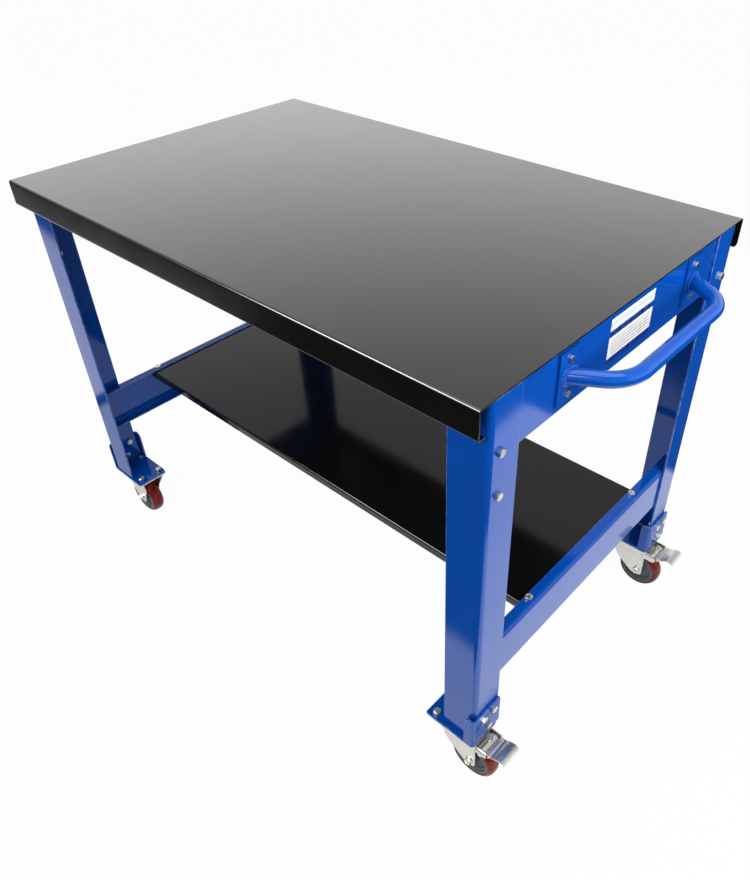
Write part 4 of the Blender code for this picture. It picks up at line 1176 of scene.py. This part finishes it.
def floorPaper():
    # painted reflection: the floor glows white to the camera; in reflections, sheets of paper partly glow
    # brighter than white and are partly lit, with a dark floor between them
    material = bpy.data.materials.new("whitePaper")
    clearTree(material)
    spot = splitVector(addNode("NewGeometry").outputs["Position"])
    ray = addNode("LightPath").outputs
    glossy, soft = ray["Is Glossy Ray"], studio["edgeSoft"]
    onPaper, glossShare = 0.0, 0.0
    for sheetX, sheetY, share in studio["papers"]:
        inside = 1.0
        for axis, (low, high) in (("X", sheetX), ("Y", sheetY)):
            start = spread(spot[axis], low - soft, low)
            stop = spread(spot[axis], high, high + soft, 1.0, 0.0)
            inside = times(inside, times(start, stop))
        onPaper = mathNode("MAXIMUM", onPaper, inside)
        glossShare = mathNode("MAXIMUM", glossShare, times(inside, share))
    offPaper = times(mathNode("SUBTRACT", 1.0, onPaper), glossy)
    # off the sheets, reflections show a dark floor where the camera sees white: painted dark reflection
    shown, lit = (mixColour(offPaper, studio[key], studio["darkReflectionTone"]) for key in ("white", "paperTone"))
    # the glow is a quarter brighter in reflections than to the camera: painted glow
    glow = feedAll(addNode("Emission"), Color=shown, Strength=timesPlus(glossy, studio["reflectionGlowBoost"], 1.0))
    diffuse = feedAll(addNode("BsdfDiffuse"), Color=lit)
    seen = times(mathNode("MAXIMUM", ray["Is Camera Ray"], ray["Is Transmission Ray"]), studio["paperShare"])
    glowShare = mathNode("MAXIMUM", seen, times(glossy, glossShare))
    mix = addNode("MixShader")
    for socket, value in zip(mix.inputs, (glowShare, diffuse[0], glow[0])):
        feed(socket, value)
    feedAll(addNode("OutputMaterial"), Surface=mix.outputs[0])
    return material


def buildFloor():
    bm = bmesh.new()
    bmesh.ops.create_grid(bm, x_segments=4, y_segments=4, size=studio["floorSize"] / 2)
    floor = meshObject("studioFloor", bm)
    floor.data.materials.append(floorPaper())


def buildSky():
    # white to the camera; darker towards the top, and in front of the bench for reflections
    world = bpy.context.scene.world or bpy.data.worlds.new("studioWorld")
    bpy.context.scene.world = world
    clearTree(world)
    direction = splitVector(addNode("TexCoord").outputs["Generated"])
    ramp = addNode("ValToRGB")
    stops = ramp.color_ramp.elements
    while len(stops) < len(studio["sky"]):
        stops.new(0.5)
    for stop, (height, tone) in zip(stops, studio["sky"]):
        stop.position = height
        stop.color = (tone, tone, tone, 1)
    sky = feedAll(ramp, Fac=direction["Z"])["Color"]
    ray = addNode("LightPath").outputs
    infront = spread(direction["Y"], *studio["frontEdge"], studio["frontDim"], 0.0)
    dimmed = timesPlus(ray["Is Glossy Ray"], mathNode("SUBTRACT", infront, studio["skyBoost"]),
                       times(ray["Is Diffuse Ray"], studio["fillDim"]))
    background = feedAll(addNode("Background"), Color=mixColour(ray["Is Camera Ray"], sky, studio["white"]),
                         Strength=mathNode("SUBTRACT", 1.0, dimmed))
    feedAll(addNode("OutputWorld"), Surface=background[0])


lamps = dict(
    overheadSoftbox=dict(at=(0.3, -0.2, 2.7), to=(0.0, 0.0, 0.5), size=(2.0, 2.0), power=28),
    rightSoftbox=dict(at=(1.5, 0.1, 1.3), to=(0.6, 0.0, 0.8), size=(0.8, 1.0), power=16.5, glossy=False),
    frontSoftbox=dict(at=(0.5, -2.3, 2.5), to=(0.2, -0.38, 0.9), size=(2.6, 0.6), power=41),
    bendStrip=dict(
        at=(-1.25, -1.95, 2.55), to=(0.1, -0.38, 0.9), size=(1.5, 0.9), power=85, diffuse=False))


def buildLamps():
    for name, lamp in lamps.items():
        light = bpy.data.lights.new(name, "AREA")
        light.shape = "RECTANGLE"
        light.size, light.size_y = lamp["size"]
        light.energy = lamp["power"]
        thing = addObject(name, light)
        thing.location = lamp["at"]
        towards = Vector(lamp["to"]) - Vector(lamp["at"])
        thing.rotation_euler = towards.to_track_quat("-Z", "Y").to_euler()
        thing.visible_camera = False
        thing.visible_diffuse = lamp.get("diffuse", True)
        thing.visible_glossy = lamp.get("glossy", True)


view = dict(
    place=(1.0157, -0.9888, 1.4703), yaw=41.59, pitch=38.38, roll=0.665, lens=31.92, sensor=36.0,
    shiftX=-0.0582, shiftY=-0.0031)


def buildCamera():
    data = bpy.data.cameras.new("photoView")
    data.sensor_fit = "AUTO"
    data.sensor_width = view["sensor"]
    data.lens = view["lens"]
    data.shift_x, data.shift_y = view["shiftX"], view["shiftY"]
    camera = addObject("photoView", data)
    yaw, pitch, roll = (math.radians(view[key]) for key in ("yaw", "pitch", "roll"))
    camera.matrix_world = (Matrix.Translation(view["place"]) @ Matrix.Rotation(yaw, 4, "Z")
                           @ Matrix.Rotation(math.pi / 2 - pitch, 4, "X") @ Matrix.Rotation(-roll, 4, "Z"))
    bpy.context.scene.camera = camera


buildFloor()
buildSky()
buildLamps()
buildCamera()
bpy.context.scene.view_settings.view_transform = "Standard"
print("studio and camera set")
